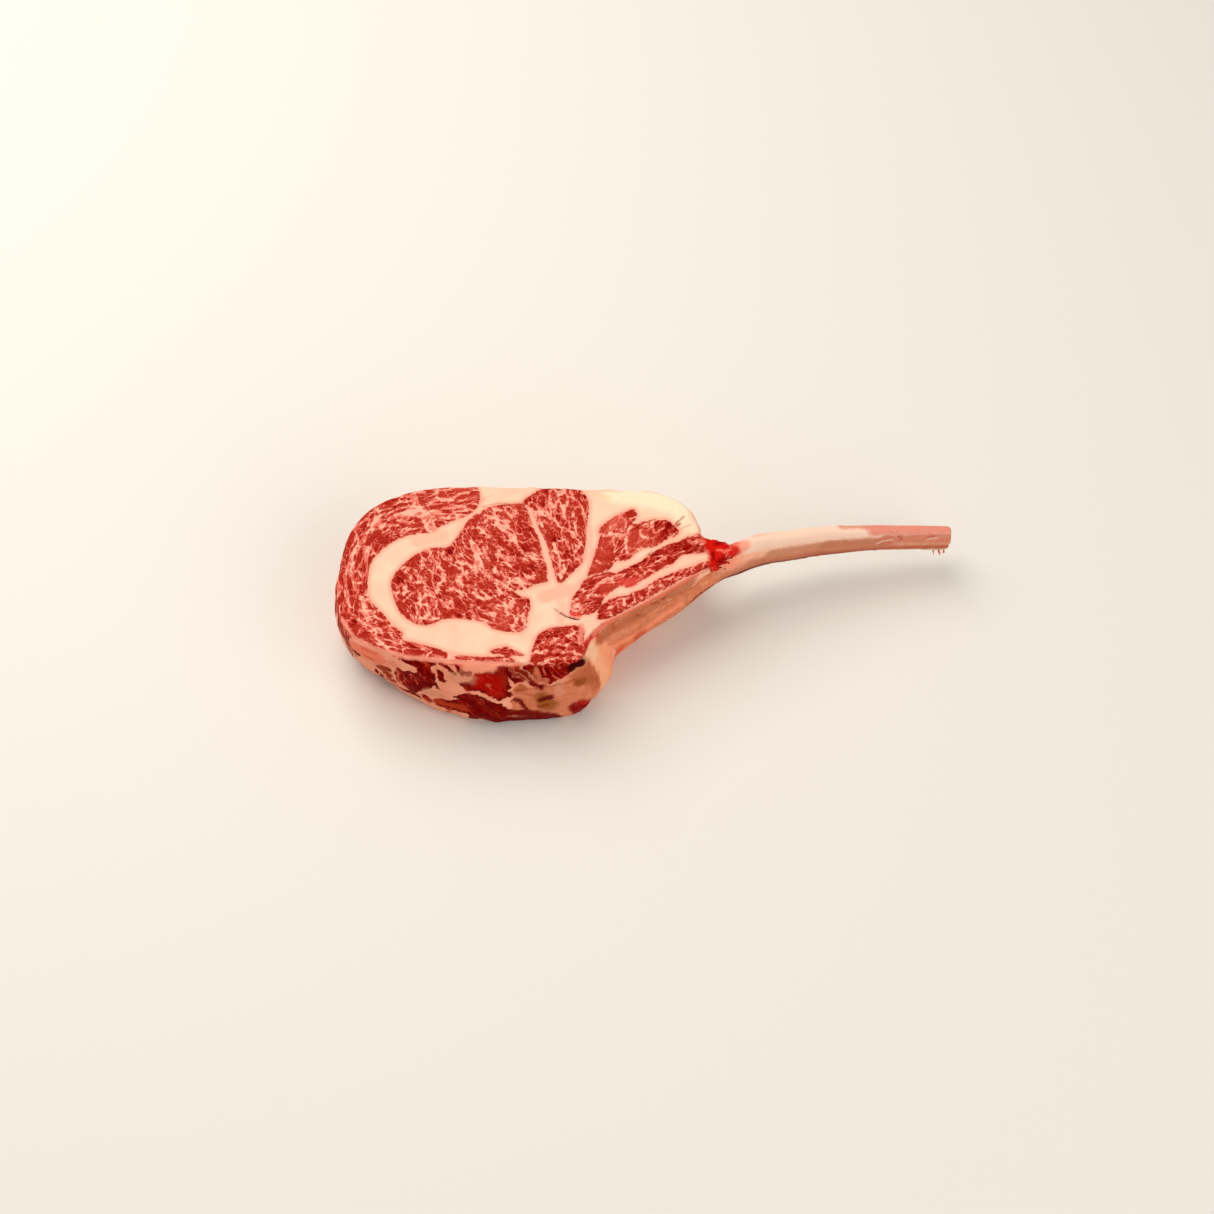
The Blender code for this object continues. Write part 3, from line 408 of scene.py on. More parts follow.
# Strokes of colour: the colour, its strength, its width, then the places that it runs through.
# In the fat of the cut face, at x and y
FACE_STROKES = [
    ((255, 234, 200), 0.8, 15, 2, 46, 20, 45, 38, 38), ((255, 232, 196), 0.6, 8, 40, 30, 46, 24),
    ((253, 182, 156), 0.6, 3, -14, -6, -13.2, 8, -13.4, 22), ((252, 190, 164), 0.5, 6, -60, 46, -50, 45),
    ((255, 204, 160), 0.5, 3, -12, 44, -2, 43), ((252, 182, 154), 0.7, 9, -40, -26, -30, -22, -18, -20),
    ((252, 182, 156), 0.55, 6, -30, -30, -31, -42), ((252, 186, 158), 0.5, 5, -90, 16, -84, 27, -76, 38),
    ((216, 120, 94), 0.5, 0.9, -80, 33, -77, 37, -74, 40, -70, 41.6),
    ((254, 190, 160), 0.75, 9, -112, 8, -98, 12), ((255, 190, 152), 0.6, 6, -14, 49, -6, 50.5, 4, 50.8),
    ((165, 75, 45), 0.8, 0.7, -95, 4, -91, 10, -87, 17, -84, 22),
    ((150, 65, 40), 0.8, 1.2, -57, 36, -51, 35.4),
    ((185, 100, 70), 0.6, 0.8, -76, 33.4, -66, 36.2, -57, 36.3),
    ((196, 104, 84), 0.7, 0.8, -110.6, 31.5, -105.2, 29.7, -100.4, 31.8),
    ((200, 110, 85), 0.5, 0.6, -124, 10, -121, 12),
    ((190, 85, 65), 0.8, 1.0, 35.5, 25, 37, 27.5, 39, 29, 41, 31.5),
    ((185, 75, 55), 0.8, 1.8, 37, 24.7, 38.3, 26.3), ((220, 145, 115), 0.7, 0.8, 38, 22, 41, 24, 45, 26),
    # the fat lip along the front left rim: pale fat of its own, painted brighter as a highlight where the rim
    # catches the light
    ((255, 150, 124), 0.85, 4.4, -152, -52, -146, -60, -133, -66.5, -115, -70.4, -95, -71.6, -70, -72, -50,
     -72),
]  # fmt: skip
# Over the flesh of the cut face and the nose, at x and y
FLESH_STROKES = [
    # a pale strip just inside the front left rim, partly the lip's own fat and partly a painted highlight
    # where the rim catches the light
    ((255, 158, 132), 0.8, 2.0, -152.6, -45, -145.5, -56, -132, -63.2, -114.6, -67.5, -95, -69, -70, -69.5,
     -52, -69.5), ((245, 70, 60), 0.6, 3, -24, -37, -20, -38),
    ((150, 60, 40), 0.7, 0.6, -36, -32.4, -33, -34.6, -31, -36),
    ((212, 60, 48), 0.9, 4.4, -6, -43.6, -10, -47.8, -13, -51.6, -16, -56),
    ((255, 150, 128), 0.7, 1.2, -5, -41.8, -9.6, -45.6, -12.2, -49.6),
    ((190, 30, 20), 0.8, 2.6, -16, -56, -18, -62),
    ((250, 150, 125), 0.6, 3, -20, -56, -19.5, -50, -19, -44),
    ((214, 20, 10), 0.9, 10, 57, 14, 59, 6, 60, -2), ((214, 20, 10), 0.85, 6, 62, 13, 68, 9),
    ((120, 0, 0), 0.8, 1.8, 57, 7, 57.5, 3), ((150, 0, 0), 0.8, 2.6, 59, 13, 63, 14),
    ((140, 0, 0), 0.8, 3, 60, 1, 64, 4), ((255, 128, 104), 0.8, 1.6, 60, 8.6, 64, 8, 67, 10),
    ((250, 110, 88), 0.7, 1.6, 66, 14, 69, 12),
    # a near black line along the slit: painted shade in the cut
    ((60, 6, 4), 1.0, 1.0, -31, -36, -27, -38.6, -24, -39.8, -20.5, -40.4),
    ((228, 74, 62), 0.6, 6, 5, -15, 9, -15.5, 12, -13.5), ((150, 6, 2), 0.6, 6, 41, 12, 46, 10.5, 50, 9.5),
    ((150, 8, 6), 0.5, 4, 21, 4, 26, 6.5, 29, 6.5), ((240, 120, 100), 0.6, 2, 43.5, 14, 46, 12.6),
    ((244, 130, 108), 0.6, 2, 48, 15.6, 52, 14.4), ((160, 14, 8), 0.4, 4, 22, 12.5, 30, 17.5, 35, 20),
    ((242, 118, 92), 0.9, 3.6, -4, -41.6, 1, -39, 14, -31, 25, -24, 36, -16.2, 47, -8.8, 55, -4.4),
    ((246, 140, 120), 0.45, 6, -84, 50, -110, 47.5, -126, 42),
    ((244, 132, 110), 0.5, 3, -48, 50, -34, 50.6),
]  # fmt: skip
# On the side wall and the sawn block of backbone, at the way along the rim and the height
WALL_STROKES = [
    ((190, 96, 54), 0.75, 13, 262, 40, 270, 32, 276, 16), ((216, 126, 94), 0.5, 12, 246, 12, 262, 20),
    ((222, 126, 94), 0.6, 8, 228, 28, 238, 30), ((196, 14, 4), 0.6, 8, 207, 42, 213, 42, 217, 41),
    ((196, 14, 4), 0.6, 7, 206, 36.5, 213, 35.5, 217, 35), ((186, 24, 8), 0.6, 5, 214, 31.5, 219, 31),
    ((150, 30, 12), 0.7, 4, 216, 48, 219.5, 44, 220, 39),
    ((190, 60, 30), 0.75, 6, 183, 15, 190, 13, 198, 15), ((190, 60, 30), 0.7, 2, 189.5, 1, 191, 9),
    ((186, 42, 10), 0.85, 3, 176, 15.6, 177.5, 13.4), ((186, 74, 36), 0.5, 8, 150, 34.5, 155, 30, 157, 22),
    ((128, 22, 10), 0.85, 2, 149, 17.4, 158, 15, 166, 13.6, 174, 12.6),
    ((206, 62, 36), 0.7, 1.5, 158, 49.8, 170, 50.2, 182, 49.8),
    ((206, 58, 34), 0.7, 1.5, 186, 49.6, 196, 49, 202, 47.4), ((255, 150, 118), 0.6, 5, 198, 48, 212, 48.6),
    ((222, 60, 30), 0.7, 3, 222, 50, 228, 49.6), ((255, 132, 102), 0.85, 10, 134, 44, 141, 42.5, 149, 44),
    ((214, 90, 55), 0.7, 3, 141, 41, 145, 40), ((240, 112, 80), 0.85, 3, 139, 48, 147, 47.6),
    ((232, 120, 90), 0.5, 7, 150, 41, 158, 43), ((255, 158, 128), 0.8, 4, 200, 48.4, 207, 47.6, 213, 49),
    ((214, 140, 108), 0.6, 7, 178, 24.5, 185, 23), ((216, 140, 108), 0.5, 8, 192, 41, 201, 41),
    ((150, 45, 15), 0.8, 1.2, 207, 21, 212, 18, 217, 13, 220.5, 8, 222, 1),
    ((205, 95, 65), 0.8, 1.8, 211.5, 36.5, 212.5, 36.5), ((190, 80, 55), 0.8, 1.6, 207, 25.5, 208, 25),
    ((120, 25, 12), 0.8, 1.6, 211.5, 11, 211.8, 9), ((188, 92, 44), 0.75, 5, 227, 32, 231.5, 32),
    ((196, 88, 54), 0.7, 2, 233, 27.5, 235.5, 27), ((176, 70, 22), 0.7, 4, 230, 12, 234, 10, 240, 12),
    ((150, 40, 14), 0.7, 4.5, 235, 47, 240, 40), ((216, 112, 80), 0.85, 3.6, 238, 48, 239.6, 42, 240.4, 38),
    ((222, 118, 88), 0.8, 3, 243.6, 41, 243.6, 34),
    ((225, 126, 94), 0.8, 1.1, 225, 48.5, 229, 43, 233.5, 38), ((160, 82, 26), 0.8, 10, 242, 25, 246, 18),
    ((110, 8, 2), 1.0, 3.4, 241.5, 22.6, 244, 24, 247.5, 25.3),
    ((140, 50, 14), 0.8, 2, 241, 16.5, 245, 17.6), ((226, 146, 116), 0.7, 5, 251, 37, 252, 28),
    ((214, 112, 74), 0.9, 1.4, 238.6, 14, 239.8, 0), ((134, 56, 30), 0.9, 3, 356, 26, 364, 29, 372, 28),
    ((148, 68, 16), 0.8, 4.6, 261, 35, 265, 30), ((158, 84, 36), 0.3, 4, 266, 29, 274, 20),
    ((112, 4, 2), 1.0, 8, 222, 4, 250, 3), ((122, 8, 2), 1.0, 6, 222, 12.6, 230, 11.4, 240, 9.6, 249, 7),
    ((140, 20, 6), 0.8, 3, 222, 50, 226, 45, 231, 38.5),
    ((150, 40, 14), 0.7, 2.2, 226.5, 50, 231, 45, 236, 39),
    ((124, 20, 8), 0.95, 3, 226, 24, 229.5, 22.6, 232.6, 17.5, 235, 13),
    ((140, 4, 0), 1, 5, 259, 13, 261, 6, 263, 1), ((172, 14, 6), 0.9, 3, 262, 15, 265.5, 9, 267.5, 3),
    ((128, 14, 6), 1, 3, 236, 38, 239, 34.6, 242, 33.3),
    ((60, 0, 0), 1.0, 4.4, 257, 48.4, 263, 49, 268, 47.4),
    ((255, 176, 134), 1.0, 11, 280, 38, 284, 24, 286, 6),
    ((255, 196, 156), 1.0, 9, 273, 50, 278, 44, 281, 36), ((228, 74, 56), 0.85, 3.6, 283.5, 51, 288, 42),
    ((255, 164, 124), 0.9, 9, 289, 34, 293, 18, 295, 3),
    ((255, 150, 110), 0.7, 6, 300, 22, 320, 24, 345, 30),
    ((250, 120, 80), 0.8, 5, 296, 6, 304, 8, 312, 15, 322, 20),
    ((190, 104, 68), 0.75, 12, 290, 43, 310, 44, 350, 46),
    ((130, 56, 26), 0.85, 2, 349, 22.6, 354, 25, 361, 29.5), ((190, 90, 60), 0.7, 3, 297, 46, 299, 41),
    ((165, 70, 40), 0.8, 1.6, 314, 43.5, 316, 42.5), ((168, 72, 42), 0.8, 1.6, 325, 46, 328, 46),
    ((160, 44, 22), 0.8, 1.6, 331, 47, 336, 46.6), ((226, 92, 56), 0.8, 6, 305, 15, 303, 1),
    ((200, 78, 50), 0.7, 8, 318, 21, 320, 3), ((232, 158, 122), 0.5, 6, 299, 34, 306, 34),
]  # fmt: skip
# On the top of the bare bone, at x and y
ROOT_STROKES = [
    ((244, 118, 88), 0.75, 9, 60, 1, 72, 7), ((255, 160, 134), 0.8, 7, 70, 8, 76, 14),
    ((214, 24, 10), 0.95, 11, 56, 6, 66, 9.5), ((210, 20, 8), 0.9, 5, 60, 2, 71, 10),
    ((238, 84, 60), 0.6, 3, 66, 14, 72, 15), ((255, 216, 188), 0.75, 9, 84, 17, 96, 24, 108, 28),
    ((250, 190, 170), 0.6, 4, 82, 21, 92, 26), ((232, 148, 122), 0.8, 6, 136, 36, 150, 38),
    ((234, 144, 122), 0.9, 11, 156, 37, 180, 40, 204, 43),
]  # fmt: skip
# On the front of the bare bone, at x and the height
BARE_STROKES = [
    # the first strokes lay a dark brown band along the lower front of the bone, partly membrane left on it
    # and partly painted shade of its rounded underside
    ((120, 46, 24), 1.0, 5.4, 50, 30, 60, 29.4, 73, 27.4, 86, 25.8, 99, 24.2),
    ((150, 72, 44), 0.9, 4, 99, 24, 112, 22.8, 126, 22, 139, 21.4, 157, 20.8),
    ((186, 86, 64), 0.7, 2, 124, 22, 140, 21.4, 153, 21), ((255, 152, 124), 0.85, 10, 63, 47, 72, 43),
    ((255, 180, 144), 0.6, 6, 74, 45, 84, 42), ((206, 138, 106), 0.75, 8, 94, 38, 116, 35, 128, 34),
    ((200, 124, 94), 0.8, 8, 128, 34, 142, 33, 154, 32, 164, 31),
    ((216, 126, 100), 0.8, 8, 164, 33, 190, 31, 204, 29),
    ((196, 100, 76), 0.8, 2.6, 150, 22.6, 176, 23.6, 204, 21.4),
    ((238, 190, 152), 0.85, 3.4, 162, 19.6, 180, 19.4, 203, 17),
    ((175, 70, 55), 0.8, 0.8, 171, 34.6, 173.4, 32.6, 172.6, 31),
    ((250, 208, 188), 0.95, 0.9, 158.5, 29.2, 163, 31.4, 168.5, 32),
    ((244, 190, 168), 0.9, 0.8, 189, 30.6, 196, 30.4), ((180, 80, 62), 0.7, 1, 189, 32, 193.6, 32),
]  # fmt: skip

# Flesh from its darkest to its fat, in the cut face and on the side wall: how far along, and the colour
LEAN = [
    (0.02, (134, 6, 2)), (0.17, (166, 32, 18)), (0.36, (187, 52, 36)), (0.54, (204, 73, 56)),
    (0.72, (228, 108, 91)), (0.9, (247, 150, 128)), (1.0, (254, 182, 156)),
]  # fmt: skip
WALL_LEAN = [
    (0.02, (76, 0, 0)), (0.35, (106, 0, 0)), (0.56, (132, 0, 0)), (0.8, (178, 34, 14)),
    (1.0, (226, 112, 80)),
]  # fmt: skip
# Fat in the cut face and on the side wall
FAT = [(0.25, (253, 196, 166)), (0.6, (254, 210, 179)), (0.9, (254, 224, 194))]
WALL_FAT = [(0.3, (240, 140, 110)), (0.55, (250, 162, 130)), (0.8, (255, 184, 150))]
FAT_BY_FLESH = (251, 170, 144)
# Bone where it is scraped, from its foot, darker partly for membrane left there and partly as painted shade,
# to its top; where it is sawn; and the marrow
SCRAPED_WITH_PAINTED_SHADE = [
    (0.1, (136, 66, 42)), (0.24, (166, 90, 62)), (0.36, (194, 116, 84)), (0.5, (216, 138, 106)),
    (0.66, (246, 184, 156)), (0.8, (255, 214, 190)),
]  # fmt: skip
SAWN = [(0.3, (200, 104, 66)), (0.5, (220, 126, 88)), (0.7, (242, 156, 118))]
MARROW_COLOURS = [(0.35, (120, 40, 28)), (0.6, (176, 90, 66)), (0.75, (214, 140, 110))]
DRIED_SHRED = (232, 140, 112)

# The camera that took the photograph: degrees, metres, and pixels
ELEVATION, AZIMUTH, ROLL, DISTANCE = 58.318, 8.0, 8.561, 1.31518
FOCAL_LENGTH, PHOTO_WIDTH, SENSOR = 2220.5, 1214, 36.0


# Outlines and places
def smooth_path(points, closed, steps=16):
    """Points of a smooth curve through the given ones, close together."""
    p = np.array(points, float)
    p = np.vstack([p[-1], p, p[:2]]) if closed else np.vstack([2 * p[0] - p[1], p, 2 * p[-1] - p[-2]])
    t = np.linspace(0, 1, steps, endpoint=False)[:, None]
    rows = []
    for a, b, c, d in zip(p[:-3], p[1:-2], p[2:-1], p[3:]):
        bend = (2 * a - 5 * b + 4 * c - d) * t**2 + (3 * b - a - 3 * c + d) * t**3
        rows.append(b + 0.5 * ((c - a) * t + bend))
    rows.append(p[-2][None])
    return np.vstack(rows)


def lengths(path):
    return np.r_[0, np.cumsum(np.linalg.norm(np.diff(path[:, :2], axis=0), axis=1))]


def points_at(path, places):
    return np.stack([np.interp(places, lengths(path), column) for column in path.T], axis=1)


def evenly(loop, count):
    return points_at(loop, np.linspace(0, lengths(loop)[-1], count, endpoint=False))


def rise(low, high, value):
    """0 below low, 1 above high, and a smooth rise between them."""
    t = np.clip((value - low) / (high - low), 0, 1)
    return t * t * (3 - 2 * t)


def inside_by(points, loop, reach=9.0):
    """How far each point lies inside a closed outline; less than 0 is outside."""
    out = np.full(len(points), -reach)
    low, high = loop.min(axis=0) - reach, loop.max(axis=0) + reach
    near = np.all((points > low) & (points < high), axis=1)
    p = points[near]
    best = np.full(len(p), 1e9)
    inside = np.zeros(len(p), bool)
    for a, b in zip(loop, np.roll(loop, -1, axis=0)):
        ab = b - a
        t = np.clip(((p - a) @ ab) / (ab @ ab), 0, 1)
        best = np.minimum(best, np.sum((p - a - t[:, None] * ab) ** 2, axis=1))
        crosses = (a[1] > p[:, 1]) != (b[1] > p[:, 1])
        if a[1] != b[1]:
            inside ^= crosses & (p[:, 0] < ab[0] * (p[:, 1] - a[1]) / ab[1] + a[0])
    away = np.sqrt(best)
    out[near] = np.clip(np.where(inside, away, -away), -reach, reach)
    return out


def waves(points, size, seed, octaves=1):
    """Smooth noise with features of this size, about -1 to 1, at each point."""
    start = Vector((seed * 17.3, seed * 5.1, seed * 11.7))
    return np.array([noise.fractal(Vector(p) / size + start, 1.0, 2.1, octaves) for p in points])


def swayed(places, points, much, size, seed, octaves=2):
    """Places moved to and fro by this much, so that what is drawn at them looks torn."""
    return places + much * np.c_[waves(points, size, seed, octaves), waves(points, size, seed + 1, octaves)]


def inside_any(points, outlines, reach=9.0):
    """How far each point lies inside the nearest of several outlines."""
    best = np.full(len(points), -reach)
    for outline in outlines:
        best = np.maximum(best, inside_by(points, smooth_path(outline, closed=True, steps=4)[:-1], reach))
    return best


def from_line(points, line, reach):
    """How far each point lies from a line through several places, up to a reach."""
    away = np.full(len(points), float(reach))
    low, high = line.min(axis=0) - reach, line.max(axis=0) + reach
    near = np.all((points > low) & (points < high), axis=1)
    p = points[near]
    best = away[near]
    for a, b in zip(line, line[1:]):
        ab = b - a
        t = np.clip(((p - a) @ ab) / (ab @ ab), 0, 1)
        best = np.minimum(best, np.linalg.norm(p - a - t[:, None] * ab, axis=1))
    away[near] = best
    return away


def painted(points, strokes, under=None):
    """Colour and strength at each point, with each stroke laid over the ones before it."""
    colours = np.zeros((len(points), 4)) if under is None else under
    for colour, strength, width, *places in strokes:
        soft = 0.35 + 0.24 * width
        away = from_line(points, np.array(places, float).reshape(-1, 2), width / 2 + soft)
        cover = strength * rise(width / 2 + soft, width / 2 - soft, away)
        total = cover + colours[:, 3] * (1 - cover)
        share = np.where(total > 0, cover / np.maximum(total, 1e-6), 0)[:, None]
        colours[:, :3] = colours[:, :3] * (1 - share) + np.array(linear(*colour)) * share
        colours[:, 3] = total
    return colours


# Modelling
def in_mm(item):
    """A mesh's corners in millimetres, in the frame of the sizes above."""
    flat = np.empty(len(item.data.vertices) * 3)
    item.data.vertices.foreach_get("co", flat)
    return flat.reshape(-1, 3) / MM + (*MIDDLE, 0)


def move_to(item, points):
    item.data.vertices.foreach_set("co", ((points - (*MIDDLE, 0)) * MM).ravel())
    item.data.update()


def normals(item):
    flat = np.empty(len(item.data.vertices) * 3)
    item.data.vertices.foreach_get("normal", flat)
    return flat.reshape(-1, 3)


def pulled(name, rings):
    """A closed body pulled up from a filled disc, with a ring of points for each step of the pull."""
    bpy.ops.object.select_all(action="DESELECT")
    bpy.ops.mesh.primitive_circle_add(vertices=len(rings[0]), radius=1, fill_type="NGON")
    item = bpy.context.object
    item.name = item.data.name = name
    move_to(item, rings[0])
    bpy.ops.object.mode_set(mode="EDIT")
    bpy.ops.mesh.select_all(action="SELECT")
    for ring_before, ring in zip(rings, rings[1:]):
        bpy.ops.mesh.extrude_region_move()
        edit = bmesh.from_edit_mesh(item.data)
        before, after = ((r - (*MIDDLE, 0)) * MM for r in (ring_before, ring))
        for corner in edit.verts:
            if corner.select:
                corner.co = after[np.argmin(np.sum((before - np.array(corner.co)) ** 2, axis=1))]
        bmesh.update_edit_mesh(item.data)
    bpy.ops.mesh.select_all(action="SELECT")
    bpy.ops.mesh.normals_make_consistent(inside=False)
    bpy.ops.object.mode_set(mode="OBJECT")
    return item


def apply_step(item, kind, **settings):
    """Adds a modifier with its settings and applies it."""
    bpy.ops.object.select_all(action="DESELECT")
    item.select_set(True)
    bpy.context.view_layer.objects.active = item
    step = item.modifiers.new(kind.title(), kind)
    for key, value in settings.items():
        setattr(step, key, value)
    bpy.ops.object.modifier_apply(modifier=step.name)


def remesh(item, size, smoothing):
    apply_step(item, "REMESH", mode="VOXEL", voxel_size=size * MM, use_smooth_shade=True)
    apply_step(item, "SMOOTH", factor=0.5, iterations=smoothing)


def divide(item, chosen):
    """Splits the chosen faces in four."""
    bpy.ops.object.select_all(action="DESELECT")
    bpy.context.view_layer.objects.active = item
    item.select_set(True)
    item.data.polygons.foreach_set("select", chosen)
    bpy.ops.object.mode_set(mode="EDIT")
    bpy.ops.mesh.select_mode(type="FACE")
    bpy.ops.mesh.subdivide(number_cuts=1)
    bpy.ops.object.mode_set(mode="OBJECT")


def finish(item, material, **fields):
    """Keeps values, vectors and colours for each corner, and gives the piece the material that reads them."""
    kinds = {1: ("FLOAT", "value"), 3: ("FLOAT_VECTOR", "vector"), 4: ("FLOAT_COLOR", "color")}
    for name, values in fields.items():
        kind, key = kinds[1 if values.ndim == 1 else values.shape[1]]
        item.data.attributes.new(name, kind, "POINT").data.foreach_set(key, values.astype(np.float32).ravel())
    item.data.materials.append(material)
    bpy.ops.object.shade_smooth()


def joined(items, name):
    """Several bodies made one piece."""
    bpy.ops.object.select_all(action="DESELECT")
    for item in items:
        item.select_set(True)
    bpy.context.view_layer.objects.active = items[0]
    bpy.ops.object.join()
    items[0].name = items[0].data.name = name
    return items[0]


# The slab of meat and fat
def underside(x, y):
    """Height of the underside, which lifts towards the bare bone."""
    along = BONE_WAY[0] * x + BONE_WAY[1] * y
    across = BONE_WAY[0] * y - BONE_WAY[1] * x - BONE_SIDE
    return LIFT * rise(0, LIFT_LENGTH, along - across)


def top_face(x, y):
    """Height of the cut face, with its soft swellings."""
    height = np.full_like(x, THICKNESS)
    for sx, sy, reach, swell in SWELLINGS:
        height += swell * np.exp(-((x - sx) ** 2 + (y - sy) ** 2) / reach**2)
    return height


def wall_offset(x, y, offset, height):
    """How far the wall stands out, which on the bone side is cut back to bare the bone."""
    on_side = rise(*BONE_SIDE_EDGE, BONE_WAY[0] * y - BONE_WAY[1] * x - BONE_SIDE)
    edge_x, edge_z = np.array(BONE_EDGE, float).T
    cut = UNDERCUT * np.maximum(0, np.interp(x, edge_x, edge_z) - height)
    return offset - on_side * (max(offset, 0) + BONE_PROUD + cut)


def slab_rings(count, proud=0.0):
    """Rings of points round the slab, from the middle of its underside to the middle of its top."""
    rim = evenly(smooth_path(RIM, closed=True), count)
    rim, lean = rim[:, :2], rim[:, 2]
    start, end = np.array(SPINE, float)
    share = np.clip((rim - start) @ (end - start) / ((end - start) @ (end - start)), 0, 1)
    spine = start + share[:, None] * (end - start)
    out = (rim - spine) / np.linalg.norm(rim - spine, axis=1)[:, None]
    rings = []
    for part, offset in WALL:
        low = underside(*rim.T)
        height = low + part * (THICKNESS - low)
        reach = proud + lean * (1 - part) + wall_offset(*rim.T, offset, height)
        place = rim + out * reach[:, None]
        spread = np.exp(-np.sum((rim - CORNER) ** 2, axis=1) / CORNER_REACH**2) * rise(0.85, 0.2, part)
        place += CORNER_SPREAD * spread[:, None] * CORNER_WAY
        height = underside(*place.T) * (1 - part) + part * top_face(*place.T)
        rings.append(np.c_[place, height])
    foot, brow = rings[0][:, :2], rings[-1][:, :2]
    for left in UNDERSIDE_RINGS:
        place = spine + left * (foot - spine)
        rings.insert(0, np.c_[place, underside(*place.T)])
    for left in TOP_RINGS:
        place = spine + left * (brow - spine)
        rings.append(np.c_[place, top_face(*place.T)])
    return rings


def round_the_rim(p):
    """For each point, the way along the rim and how far it lies inside the rim."""
    rim = smooth_path(RIM, closed=True)[:, :2]
    total = lengths(rim)[-1]
    rim = evenly(rim, 1200)
    nearest = np.concatenate([
        np.argmin(((part[:, None] - rim) ** 2).sum(axis=2), axis=1) for part in np.array_split(p[:, :2], 60)
    ])
    return nearest * total / 1200, inside_by(p[:, :2], rim[::2], 60.0)


def fit(item):
    """Keeps every corner within the room that the solids take."""
    low, high = (np.array(corner) / MM + (*MIDDLE, 0) for corner in cad_box)
    move_to(item, np.clip(in_mm(item), low + 0.02, high - 0.02))


def muscles(p, along, from_rim):
    """How deep each corner lies in a muscle, less than 0 in the fat, and how the grain runs there."""
    depth = np.full(len(p), -FAR)
    grain = np.empty((len(p), 3))
    for outline, angle, drawn in MUSCLES:
        by = inside_by(p[:, :2], smooth_path(outline, closed=True, steps=4)[:-1])
        mine = by > depth
        depth[mine] = by[mine]
        if angle is None:
            grain[mine] = np.c_[along[mine] / drawn, from_rim[mine], 0.35 * p[mine, 2]]
        else:
            turn = np.radians(angle[0] + (angle[1] - angle[0]) * rise(-105, -55, p[mine, 0]))
            c, s, (x, y) = np.cos(turn), np.sin(turn), (p[mine, :2] - GRAIN_MIDDLE).T
            grain[mine] = np.c_[(c * x + s * y) / drawn, c * y - s * x, 0.35 * p[mine, 2]]
    return depth, grain


def inside_veins(places, lines):
    """How far each place lies inside the nearest vein; less than 0 is outside."""
    inside = np.full(len(places), -3.0)
    for width, *way in lines:
        line = np.array(way, float).reshape(-1, 2)
        inside = np.maximum(inside, width / 2 - from_line(places, line, width / 2 + 3))
    return inside


def tones(p):
    """How much darker or paler the flesh is at each corner, and how calm its marbling is."""
    tone = 0.35 * waves(p, 7, 10, 2)
    calm = np.zeros(len(p))
    for x, y, reach, much in TONES:
        tone += much * np.exp(-((p[:, 0] - x) ** 2 + (p[:, 1] - y) ** 2) / reach**2)
    for x, y, reach in CALM:
        calm = np.maximum(calm, rise(1.2 * reach, 0.6 * reach, np.hypot(p[:, 0] - x, p[:, 1] - y)))
    return tone, calm


def face_relief(p, depth, seam, vein):
    """How far the cut face stands out: the muscles swell, and seams, veins and the slit lie deeper."""
    slit = from_line(p[:, :2], np.array(SLIT), 3)
    swell = 0.3 * rise(-0.5, 3, depth) + 0.2 * waves(p, 4, 1, 3)
    return swell - 0.12 * seam - 0.12 * rise(-0.4, 0.4, vein) - 0.9 * rise(1.2, 0.1, slit)


def wall_relief(p, along, depth):
    """How far the side wall stands out: uneven all round, with ragged flesh that overhangs the sawn block."""
    ragged = along + 3 * waves(p, 5, 17, 2)
    relief = 0.9 * waves(p, 14, 2, 2) + 0.35 * waves(p, 4.5, 3, 2) - 0.5 * rise(-0.8, 1.4, depth)
    relief += 1.4 * rise(-0.5, 2, depth) * rise(*OVER_BLOCK, along) * rise(*OVER_BLOCK_END, along)
    relief += 1.2 * rise(*FLESH_BROW, along) * rise(*FLESH_BROW_END, ragged)
    relief += 0.9 * rise(*HEAVY_FOOT, along) * rise(*HEAVY_FOOT_END, along) * rise(16, 8, p[:, 2])
    return relief - 0.9 * rise(*STEP_BACK, ragged) * rise(*STEP_BACK_END, along)


